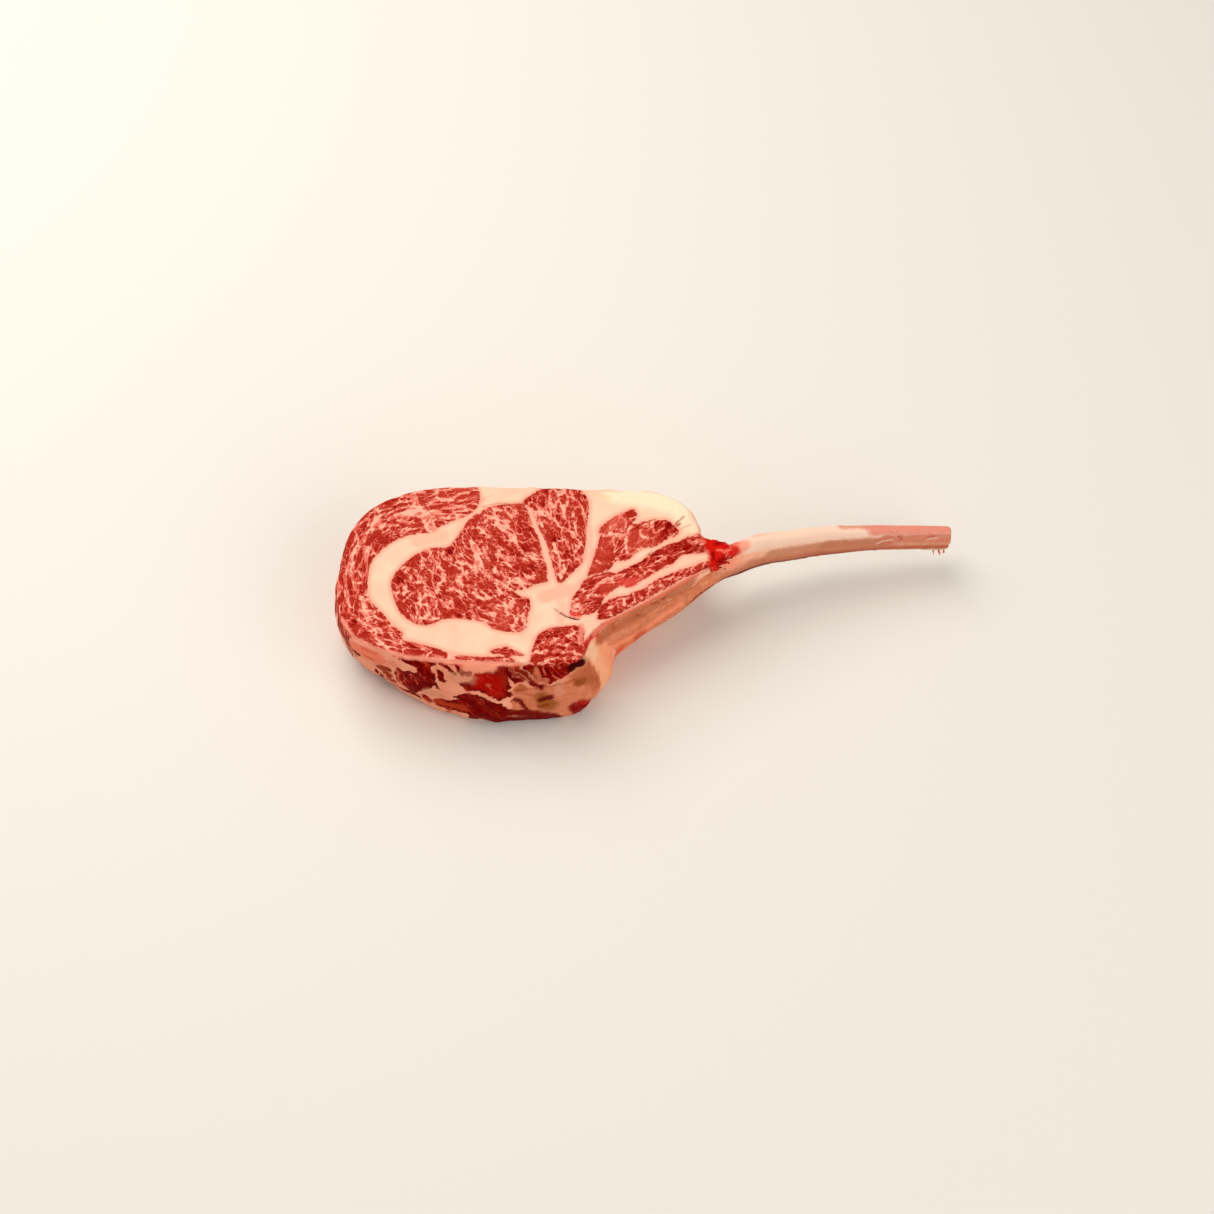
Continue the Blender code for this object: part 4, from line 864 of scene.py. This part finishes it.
def steak(material):
    """The slab of meat and fat, with the relief of its muscles, seams and walls."""
    item = pulled("steak", slab_rings(ROUND_RIM))
    remesh(item, STEAK_GRID, 4)
    facing = np.empty(len(item.data.polygons) * 3)
    item.data.polygons.foreach_get("normal", facing)
    facing = facing.reshape(-1, 3)
    divide(item, (facing[:, 2] > 0.5) | ((facing[:, 2] > -0.6) & (facing[:, 1] < 0.3)))
    apply_step(item, "SMOOTH", factor=0.5, iterations=2)

    p = in_mm(item)
    away = normals(item)
    along, from_rim = round_the_rim(p)
    below = top_face(p[:, 0], p[:, 1]) - p[:, 2]
    on_top = rise(0.5, 0.9, away[:, 2])
    on_wall = rise(0.8, 3.0, below) * (1 - rise(0.6, 0.95, -away[:, 2]))
    on_nose = rise(*NOSE_SIDE, p[:, 0]) * rise(*NOSE_BACK, p[:, 1])
    at_left = rise(*LEFT_SIDE, along + 5 * waves(p, 8, 26, 2))
    at_left = np.maximum(at_left, 0.85 * rise(12, 6, p[:, 2]) * rise(*LEFT_FOOT, along))
    at_back = np.minimum(rise(*BACK_FROM_TAIL, along) + rise(*BACK_FROM_LEFT, along), 1)

    # the muscles stop at a lip of fat along the rim, except in the nose
    depth, grain = muscles(p, along, from_rim)
    seam = rise(1.4, 0.2, np.abs(depth))
    lip = from_rim - 0.3 - 1.7 * rise(-48, -62, p[:, 1]) * rise(-44, -52, p[:, 0]) + 0.9 * waves(p, 6, 4)
    depth = np.minimum(depth, np.where(p[:, 0] > NOSE_SIDE[0], FAR, lip))

    # the side wall has flesh of its own: drawn patches at the front, streaks on the left and round the back
    on_side = swayed(swayed(np.c_[along, p[:, 2]], p, 1.3, 7, 5), p, 0.8, 2.4, 24)
    streaks = waves(np.c_[along + 0.5 * p[:, 2], 0.4 * p[:, 2], from_rim], 11, 7, 3)
    flesh = np.maximum(inside_any(on_side, WALL_RED), -3)
    flesh += (9 * streaks + 1.6 + 2 * rise(44, 50, p[:, 2]) - flesh) * at_left
    flesh += (np.minimum(depth + 1.5 - 0.22 * below + 3 * streaks, 7 * streaks + 1) - flesh) * at_back
    flesh += (p[:, 2] - 45.5 + 3 * waves(p, 3, 14, 2) - flesh) * on_nose
    depth = depth * (1 - on_wall) + flesh * on_wall

    # veins, tone and strokes of colour
    walled = on_wall >= 0.5
    on_face = swayed(p[:, :2], p, 0.25, 1.6, 8, 1)
    vein = np.where(walled, inside_veins(on_side, WALL_VEINS), inside_veins(on_face, VEINS))
    tone, calm = tones(p)
    calm = np.maximum(calm, 0.9 * on_wall * (1 - at_back) * (1 - 0.5 * at_left))
    paint = np.where(walled[:, None], painted(on_side, WALL_STROKES), painted(on_face, FACE_STROKES))
    paint[:, 3] *= np.where(walled, 1, 1 - rise(-0.3, 0.5, depth))
    shallow = (below < 3.2) | (on_nose > 0.5)
    paint[shallow] = painted(on_face[shallow], FLESH_STROKES, paint[shallow])

    relief = on_top * face_relief(p, depth, seam, vein) + on_wall * wall_relief(p, along, depth)
    relief += on_nose * (0.9 * waves(p, 3.2, 15, 2) + 0.6 * waves(p, 1.7, 16))
    move_to(item, p + away * relief[:, None])
    fit(item)
    side_grain = np.c_[along + 0.8 * p[:, 2], p[:, 2] / 3.5, from_rim]
    wall = on_wall * (1 - 0.85 * at_back) * (1 - 0.7 * at_left)
    finish(
        item, material, lean=depth, grain=grain, side_grain=side_grain, edge=on_wall, wall=wall, vein=vein,
        tone=tone, calm=calm, paint=paint,
    )  # fmt: skip
    return item


# The bone and the shreds of flesh
def rib_rings():
    """Rings of points along the rib, flattened a little towards a box, as a rib is."""
    path = smooth_path(RIB, closed=False)
    length = lengths(path)[-1]
    path = points_at(path, [0, *np.linspace(END_ROUNDING, length - END_ROUNDING, RIB_RINGS), length])
    path[[0, -1], 3:] *= END_SHARE
    ahead = np.gradient(path[:, :2], axis=0)
    ahead /= np.linalg.norm(ahead, axis=1)[:, None]
    turn = np.linspace(0, 2 * math.pi, ROUND_RIB, endpoint=False)
    across = np.sign(np.cos(turn)) * np.abs(np.cos(turn)) ** (2 / SECTION_POWER)
    upward = np.sign(np.sin(turn)) * np.abs(np.sin(turn)) ** (2 / SECTION_POWER)
    return [
        np.c_[x - ay * across * broad / 2, y + ax * across * broad / 2, z + upward * deep / 2]
        for (x, y, z, broad, deep), (ax, ay) in zip(path, ahead)
    ]


def backbone():
    """The sawn block of backbone, cut off level with the wall of the slab."""
    loop = evenly(smooth_path(BACKBONE, closed=True), ROUND_BLOCK)
    top = np.interp(loop[:, 0], (loop[:, 0].min(), loop[:, 0].max()), BACKBONE_TOP)
    item = pulled("backbone", [np.c_[loop, np.full(len(loop), BELOW)], np.c_[loop, top]])
    face = pulled("sawn_face", slab_rings(ROUND_RIM, BONE_PROUD))
    apply_step(item, "BOOLEAN", operation="INTERSECT", solver="EXACT", object=face)
    bpy.data.objects.remove(face)
    return item


def bone(material):
    """The rib with the sawn block of backbone that it grows from."""
    item = joined([pulled("rib", rib_rings()), backbone()], "rib_bone_detailed")
    remesh(item, BONE_GRID, 3)

    p = in_mm(item)
    away = normals(item)
    path = smooth_path(RIB, closed=False)
    nearest = np.array([np.argmin(((path[:, :2] - q) ** 2).sum(axis=1)) for q in p[:, :2]])
    share = (p[:, 2] - path[nearest, 2]) / (path[nearest, 4] / 2)
    bare = rise(*BARE, p[:, 0])
    on_block = swayed(swayed(np.c_[round_the_rim(p)[0], p[:, 2]], p, 0.9, 6, 5), p, 0.9, 2.2, 24)
    front = painted(swayed(p[:, ::2], p, 0.5, 4, 7), BARE_STROKES)
    front[:, 3] *= rise(0.35, -0.1, away[:, 1])
    top = painted(swayed(p[:, :2], p, 0.5, 4, 9), ROOT_STROKES)
    top[:, 3] *= rise(0.1, 0.6, away[:, 2])
    on_bare = np.where((top[:, 3] > front[:, 3])[:, None], top, front)
    paint = np.where((bare > 0.5)[:, None], on_bare, painted(on_block, WALL_STROKES))
    end = np.linalg.norm(p - BONE_TIP, axis=1)
    sawn = rise(0.6, 0.9, away[:, 0]) * rise(12, 9, end)

    scraped = 0.30 * waves(p * (0.16, 1, 1), 3.2, 11, 2) + 0.35 * waves(p, 18, 12, 2)
    relief = bare * scraped + 0.14 * waves(p, 3.5, 13, 2)
    relief -= 0.25 * rise(0.2, 0.9, paint[:, 3]) * bare
    move_to(item, p + away * relief[:, None])
    fit(item)
    finish(item, material, share=share, bare=bare, marrow=rise(*MARROW, end) * sawn, paint=paint)
    return item


def strand(start, end, places):
    """One shred, drawn out along its points from its breadth at the root to that at its end."""
    path = smooth_path(np.array(places, float).reshape(-1, 3), closed=False, steps=3)
    ahead = np.gradient(path, axis=0)
    turn = np.linspace(0, 2 * math.pi, 8, endpoint=False)
    rings = []
    for spot, way, size in zip(path, ahead, np.linspace(start, end, len(path))):
        way = way / np.linalg.norm(way)
        side = np.cross(way, (0, 0.3, 1))
        side /= np.linalg.norm(side)
        up = np.cross(side, way)
        rings.append(spot + size * (np.outer(np.cos(turn), side) * 1.25 + np.outer(np.sin(turn), up) * 0.75))
    return pulled("shred", rings)


def shreds(material):
    """Ragged ends of flesh left where the bone has been scraped clean, and a few on its tip."""
    item = joined([strand(start, end, places) for start, end, *places in SHREDS], "shreds_of_flesh")
    remesh(item, SHRED_GRID, 2)
    p = in_mm(item)
    move_to(item, p + normals(item) * (0.35 * waves(p, 1.6, 21, 2) + 0.3 * waves(p, 4, 22))[:, None])
    fit(item)

    at_tip = rise(150, 160, p[:, 0])
    paint = painted(p[:, :2].copy(), FLESH_STROKES)
    paint[:, 3] = np.maximum(paint[:, 3] * 0.8, at_tip * 0.9)
    paint[at_tip > 0.5, :3] = linear(*DRIED_SHRED)
    even = np.ones(len(p))
    grain = p * (0.5, 1, 1)
    tone = 0.2 + 0.9 * waves(p, 3.5, 23, 2)
    finish(
        item, material, lean=4.0 * even, grain=grain, side_grain=grain, edge=0.0 * even, wall=0.3 * even,
        vein=-2.0 * even, tone=tone, calm=0.2 * even, paint=paint,
    )  # fmt: skip
    return item


# Materials
def plain(name, colour, roughness):
    material = bpy.data.materials.new(name)
    material.use_nodes = True
    shader = material.node_tree.nodes["Principled BSDF"]
    shader.inputs["Base Color"].default_value = (*colour, 1)
    shader.inputs["Roughness"].default_value = roughness
    return material


def dress(material, **inputs):
    """Sets or links what the material's shader reads."""
    shader = material.node_tree.nodes["Principled BSDF"]
    for key, value in inputs.items():
        connect(material.node_tree, value, shader.inputs[key.replace("_", " ")])


def linear(red, green, blue):
    """A colour as the eye sees it, 0 to 255, as the light that it stands for."""
    seen = (red / 255, green / 255, blue / 255)
    return tuple(c / 12.92 if c <= 0.04045 else ((c + 0.055) / 1.055) ** 2.4 for c in seen)


def node(tree, kind, settings=None, **inputs):
    """A node with its settings and its inputs, each of them a value or what another node puts out."""
    made = tree.nodes.new("ShaderNode" + kind)
    for key, value in (settings or {}).items():
        setattr(made, key, value)
    for key, value in inputs.items():
        connect(tree, value, made.inputs[key.replace("_", " ")])
    return made


def connect(tree, value, socket):
    if isinstance(value, bpy.types.NodeSocket):
        tree.links.new(value, socket)
    else:
        socket.default_value = value


def calc(tree, operation, *values):
    made = tree.nodes.new("ShaderNodeMath")
    made.operation = operation
    for value, socket in zip(values, made.inputs):
        connect(tree, value, socket)
    return made.outputs[0]


def shift(tree, operation, *values):
    made = tree.nodes.new("ShaderNodeVectorMath")
    made.operation = operation
    for value, socket in zip(values, [made.inputs[0], made.inputs[1]]):
        connect(tree, value, socket)
    return made.outputs[0]


def attribute(tree, name, output="Fac"):
    return node(tree, "Attribute", {"attribute_name": name}).outputs[output]


def ease(tree, value, start, end):
    """0 at start and 1 at end, with a smooth rise between them, whichever is larger."""
    made = node(tree, "MapRange", {"interpolation_type": "SMOOTHSTEP"}, Value=value)
    for socket, number in zip(("From Min", "From Max"), (start, end)):
        connect(tree, number, made.inputs[socket])
    return made.outputs[0]


def cloud(tree, vector, size, detail=2.0, roughness=0.5):
    """Noise with features of this size, about 0.2 to 0.8."""
    return node(tree, "TexNoise", Vector=vector, Scale=1 / size, Detail=detail, Roughness=roughness).outputs


def ramp(tree, value, stops):
    """The colour at a value, from stops along the way."""
    made = node(tree, "ValToRGB", Fac=value)
    elements = made.color_ramp.elements
    for k, (place, colour) in enumerate(stops):
        element = elements[k] if k < 2 else elements.new(place)
        element.position = place
        element.color = (*linear(*colour), 1)
    return made.outputs["Color"]


MIX_SOCKETS = {"VECTOR": (0, 4, 5, 1), "RGBA": (0, 6, 7, 2)}  # a Mix node has a set of sockets for each kind


def mix(tree, factor, first, second, kind="RGBA"):
    """A mix of two colours, or of two places where the kind is VECTOR."""
    made = node(tree, "Mix", {"data_type": kind})
    *ins, out = MIX_SOCKETS[kind]
    for value, socket in zip((factor, first, second), ins):
        connect(tree, value, made.inputs[socket])
    return made.outputs[out]


def veins(tree, grain, size, width, seed):
    """A broken net of veins between cells of this size: 1 in a vein, 0 away from it."""
    warp = shift(tree, "SUBTRACT", cloud(tree, grain, size * 0.9, 2)["Color"], (0.5, 0.5, 0.5))
    warp = shift(tree, "MULTIPLY", warp, (size * 1.1,) * 3)
    place = shift(tree, "ADD", shift(tree, "ADD", grain, warp), (seed, seed * 3.7, 0))
    cells = node(tree, "TexVoronoi", {"feature": "DISTANCE_TO_EDGE"}, Vector=place, Scale=1 / size)
    away = calc(tree, "MULTIPLY", cells.outputs["Distance"], size)
    patches = cloud(tree, shift(tree, "ADD", grain, (seed * 2.1, 0, seed)), size * 1.3, 2)["Fac"]
    wide = node(tree, "MapRange", Value=patches, From_Min=0.32, From_Max=0.72)
    connect(tree, -0.6 * width, wide.inputs["To Min"])
    connect(tree, 1.15 * width, wide.inputs["To Max"])
    beyond = calc(tree, "SUBTRACT", away, wide.outputs[0])
    return ease(tree, beyond, 0.5 * width, -0.1 * width)


def strokes_group():
    """A group that lays strokes of colour over a ground, with torn edges."""
    group = bpy.data.node_groups.new("strokes_over_ground", "ShaderNodeTree")
    sockets = {"Ground": "Color", "Strokes": "Color", "Strength": "Float", "Place": "Vector", "Torn": "Float"}
    for name, kind in sockets.items():
        group.interface.new_socket(name, in_out="INPUT", socket_type="NodeSocket" + kind)
    group.interface.new_socket("Colour", in_out="OUTPUT", socket_type="NodeSocketColor")
    given = group.nodes.new("NodeGroupInput").outputs
    uneven = calc(group, "SUBTRACT", cloud(group, given["Place"], 0.0011, 3, 0.6)["Fac"], 0.5)
    torn = calc(group, "MULTIPLY", uneven, given["Torn"])
    at_edge = calc(group, "MINIMUM", calc(group, "MULTIPLY", given["Strength"], 3.0), 1.0)
    cover = ease(group, calc(group, "MULTIPLY_ADD", torn, at_edge, given["Strength"]), 0.06, 0.94)
    colour = mix(group, cover, given["Ground"], given["Strokes"])
    group.links.new(colour, group.nodes.new("NodeGroupOutput").inputs["Colour"])
    return group


def with_strokes(tree, group, ground, place, torn):
    """The ground with the strokes over it that are kept on the piece's corners."""
    paint = node(tree, "Attribute", {"attribute_name": "paint"}).outputs
    laid = node(
        tree, "Group", {"node_tree": group}, Ground=ground, Strokes=paint["Color"], Strength=paint["Alpha"],
        Place=place, Torn=torn,
    )  # fmt: skip
    return laid.outputs["Colour"]


def marbling(tree, grain, coarse, in_vein):
    """How far the flesh is from its darkest towards fat, by its fibres, its tone and the fat in it."""
    value = 0.0
    for part, much, start in (
        (cloud(tree, grain, 0.9, 4, 0.6)["Fac"], 0.6, -0.3), (coarse, 0.5, -0.25),
        (attribute(tree, "tone"), 0.3, 0.24), (veins(tree, grain, 2.4, 0.28, 11.0), 0.42, 0.0),
        (veins(tree, grain, 5.0, 0.55, 3.0), 0.5, 0.0),
    ):  # fmt: skip
        value = calc(tree, "ADD", value, calc(tree, "MULTIPLY_ADD", part, much, start))
    steady = calc(tree, "MULTIPLY_ADD", attribute(tree, "calm"), -0.55, 1.0)
    value = calc(tree, "MULTIPLY_ADD", calc(tree, "SUBTRACT", value, 0.5), steady, 0.5)
    return calc(tree, "MULTIPLY_ADD", in_vein, 0.46, value)


def meat_material(strokes):
    """Marbled flesh where the corners lie in a muscle, and fat elsewhere, each redder on the side wall."""
    material = plain("meat_and_fat", (0.8, 0.5, 0.4), 0.42)
    tree = material.node_tree
    place = node(tree, "TexCoord").outputs["Object"]
    edge, lean, wall = (attribute(tree, name) for name in ("edge", "lean", "wall"))
    round_edge = calc(tree, "GREATER_THAN", edge, 0.5)
    grain, side_grain = (attribute(tree, name, "Vector") for name in ("grain", "side_grain"))
    grain = mix(tree, round_edge, grain, side_grain, "VECTOR")
    coarse = cloud(tree, grain, 2.2, 3, 0.55)["Fac"]

    ragged = calc(tree, "MULTIPLY_ADD", cloud(tree, place, 0.0021, 4, 0.62)["Fac"], 2.8, -1.4)
    in_lean = ease(tree, calc(tree, "ADD", lean, ragged), -0.5, 0.45)
    frayed = calc(tree, "MULTIPLY_ADD", cloud(tree, place, 0.0015, 3, 0.6)["Fac"], 2.0, -1.0)
    in_vein = ease(tree, calc(tree, "ADD", attribute(tree, "vein"), frayed), -0.6, 0.5)
    value = marbling(tree, grain, coarse, in_vein)
    flesh = mix(tree, wall, ramp(tree, value, LEAN), ramp(tree, value, WALL_LEAN))

    patchy = cloud(tree, place, 0.012, 3)["Fac"]
    by_flesh = calc(tree, "MULTIPLY", ease(tree, lean, -3.2, -0.4), 0.75)
    fat = mix(tree, by_flesh, ramp(tree, patchy, FAT), (*linear(*FAT_BY_FLESH), 1))
    fat = mix(tree, wall, fat, ramp(tree, patchy, WALL_FAT))

    # fibres and marbling are felt in the flesh, and fade where the cut face turns into the wall
    off_edge = calc(tree, "MULTIPLY", calc(tree, "ABSOLUTE", calc(tree, "SUBTRACT", edge, 0.5)), 2.0)
    felt = calc(tree, "MULTIPLY", off_edge, calc(tree, "MULTIPLY_ADD", in_lean, 0.8, 0.2))
    bump = node(tree, "Bump", Height=calc(tree, "MULTIPLY", value, felt), Strength=0.3, Distance=0.0005)
    dress(
        material, Base_Color=with_strokes(tree, strokes, mix(tree, in_lean, fat, flesh), place, 0.95),
        Roughness=calc(tree, "MULTIPLY_ADD", coarse, 0.3, 0.28), Specular_IOR_Level=0.015,
        Normal=bump.outputs["Normal"],
    )  # fmt: skip
    return material


def bone_material(strokes):
    """Scraped bone, darker towards its foot partly for membrane and partly as painted shade, with sawn bone
    at the block and marrow in the sawn tip.
    """
    material = plain("scraped_bone", (0.8, 0.5, 0.4), 0.42)
    tree = material.node_tree
    place = node(tree, "TexCoord").outputs["Object"]
    streaky = cloud(tree, shift(tree, "MULTIPLY", place, (0.18, 1, 1)), 0.0022, 4, 0.6)["Fac"]
    patchy = cloud(tree, place, 0.009, 3)["Fac"]
    level = calc(tree, "ADD", attribute(tree, "share"), calc(tree, "MULTIPLY_ADD", patchy, 0.5, -0.25))
    level = calc(tree, "ADD", level, calc(tree, "MULTIPLY_ADD", streaky, 0.4, -0.2))
    # the colour runs from the foot to the top of each section; the darker foot is partly membrane and partly
    # painted shade
    scraped = ramp(tree, calc(tree, "MULTIPLY_ADD", level, 0.4, 0.5), SCRAPED_WITH_PAINTED_SHADE)
    sawn = ramp(tree, calc(tree, "MULTIPLY_ADD", streaky, 0.6, calc(tree, "MULTIPLY", patchy, 0.4)), SAWN)
    ground = mix(tree, attribute(tree, "bare"), sawn, scraped)
    colour = with_strokes(tree, strokes, ground, place, 0.95)
    colour = mix(tree, attribute(tree, "marrow"), colour, ramp(tree, streaky, MARROW_COLOURS))
    pores = cloud(tree, place, 0.0009, 3, 0.6)["Fac"]
    bump = node(
        tree, "Bump", Height=calc(tree, "MULTIPLY_ADD", pores, 0.6, streaky), Strength=0.3, Distance=0.0005
    )
    dress(material, Base_Color=colour, Specular_IOR_Level=0.03, Normal=bump.outputs["Normal"])
    return material


# Stage
def camera():
    """Looks down on the steak from the front, slightly turned, as the eye of someone standing over it."""
    elevation, azimuth, roll = (math.radians(angle) for angle in (ELEVATION, AZIMUTH, ROLL))
    forward = Vector((
        math.sin(azimuth) * math.cos(elevation), math.cos(azimuth) * math.cos(elevation), -math.sin(elevation)
    ))
    data = bpy.data.cameras.new("camera")
    data.sensor_width = SENSOR
    data.lens = SENSOR * FOCAL_LENGTH / PHOTO_WIDTH
    item = bpy.data.objects.new("camera", data)
    bpy.context.scene.collection.objects.link(item)
    item.rotation_mode = "QUATERNION"
    target = Vector((-MIDDLE[0], -MIDDLE[1], 0)) * MM
    facing = forward.to_track_quat("-Z", "Y").to_matrix().to_4x4()
    place = Matrix.Translation(target - forward * DISTANCE)
    item.matrix_world = place @ facing @ Matrix.Rotation(roll, 4, "Z")
    bpy.context.scene.camera = item


def light(name, place, size, power, colour):
    """A soft square light that faces the steak."""
    data = bpy.data.lights.new(name, "AREA")
    data.size = size
    data.energy = power
    data.color = colour
    item = bpy.data.objects.new(name, data)
    item.location = place
    item.rotation_euler = (-Vector(place)).to_track_quat("-Z", "Y").to_euler()
    bpy.context.scene.collection.objects.link(item)


def stage():
    """The pale floor, a window from the back left, and a weaker light that fills the front."""
    bpy.ops.object.select_all(action="DESELECT")
    bpy.ops.mesh.primitive_plane_add(size=8)
    floor = bpy.context.object
    floor.name = "floor"
    floor.data.materials.append(plain("floor", (0.86, 0.82, 0.75), 0.6))
    light("window", (-0.8, 0.75, 1.45), 1.6, 26, (1, 0.97, 0.92))
    light("fill", (1.05, -1.05, 0.85), 1.8, 13, (1, 0.97, 0.93))
    world = bpy.data.worlds.new("world")
    world.use_nodes = True
    world.node_tree.nodes["Background"].inputs[0].default_value = (1, 0.98, 0.95, 1)
    world.node_tree.nodes["Background"].inputs[1].default_value = 0.4
    bpy.context.scene.world = world
    bpy.context.scene.view_settings.view_transform = "Standard"


# Build
camera()
stage()

strokes = strokes_group()
meat_and_fat = meat_material(strokes)
meat = steak(meat_and_fat)
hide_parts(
    "fat", "eye_muscle", "cap_muscle", "upper_muscle", "outer_flank_muscle", "middle_flank_muscle",
    "inner_flank_muscle", "chine_muscle",
)  # fmt: skip
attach(meat, "root")

rib = bone(bone_material(strokes))
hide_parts("rib_bone")
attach(rib, "root")

scraps = shreds(meat_and_fat)
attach(scraps, "root")
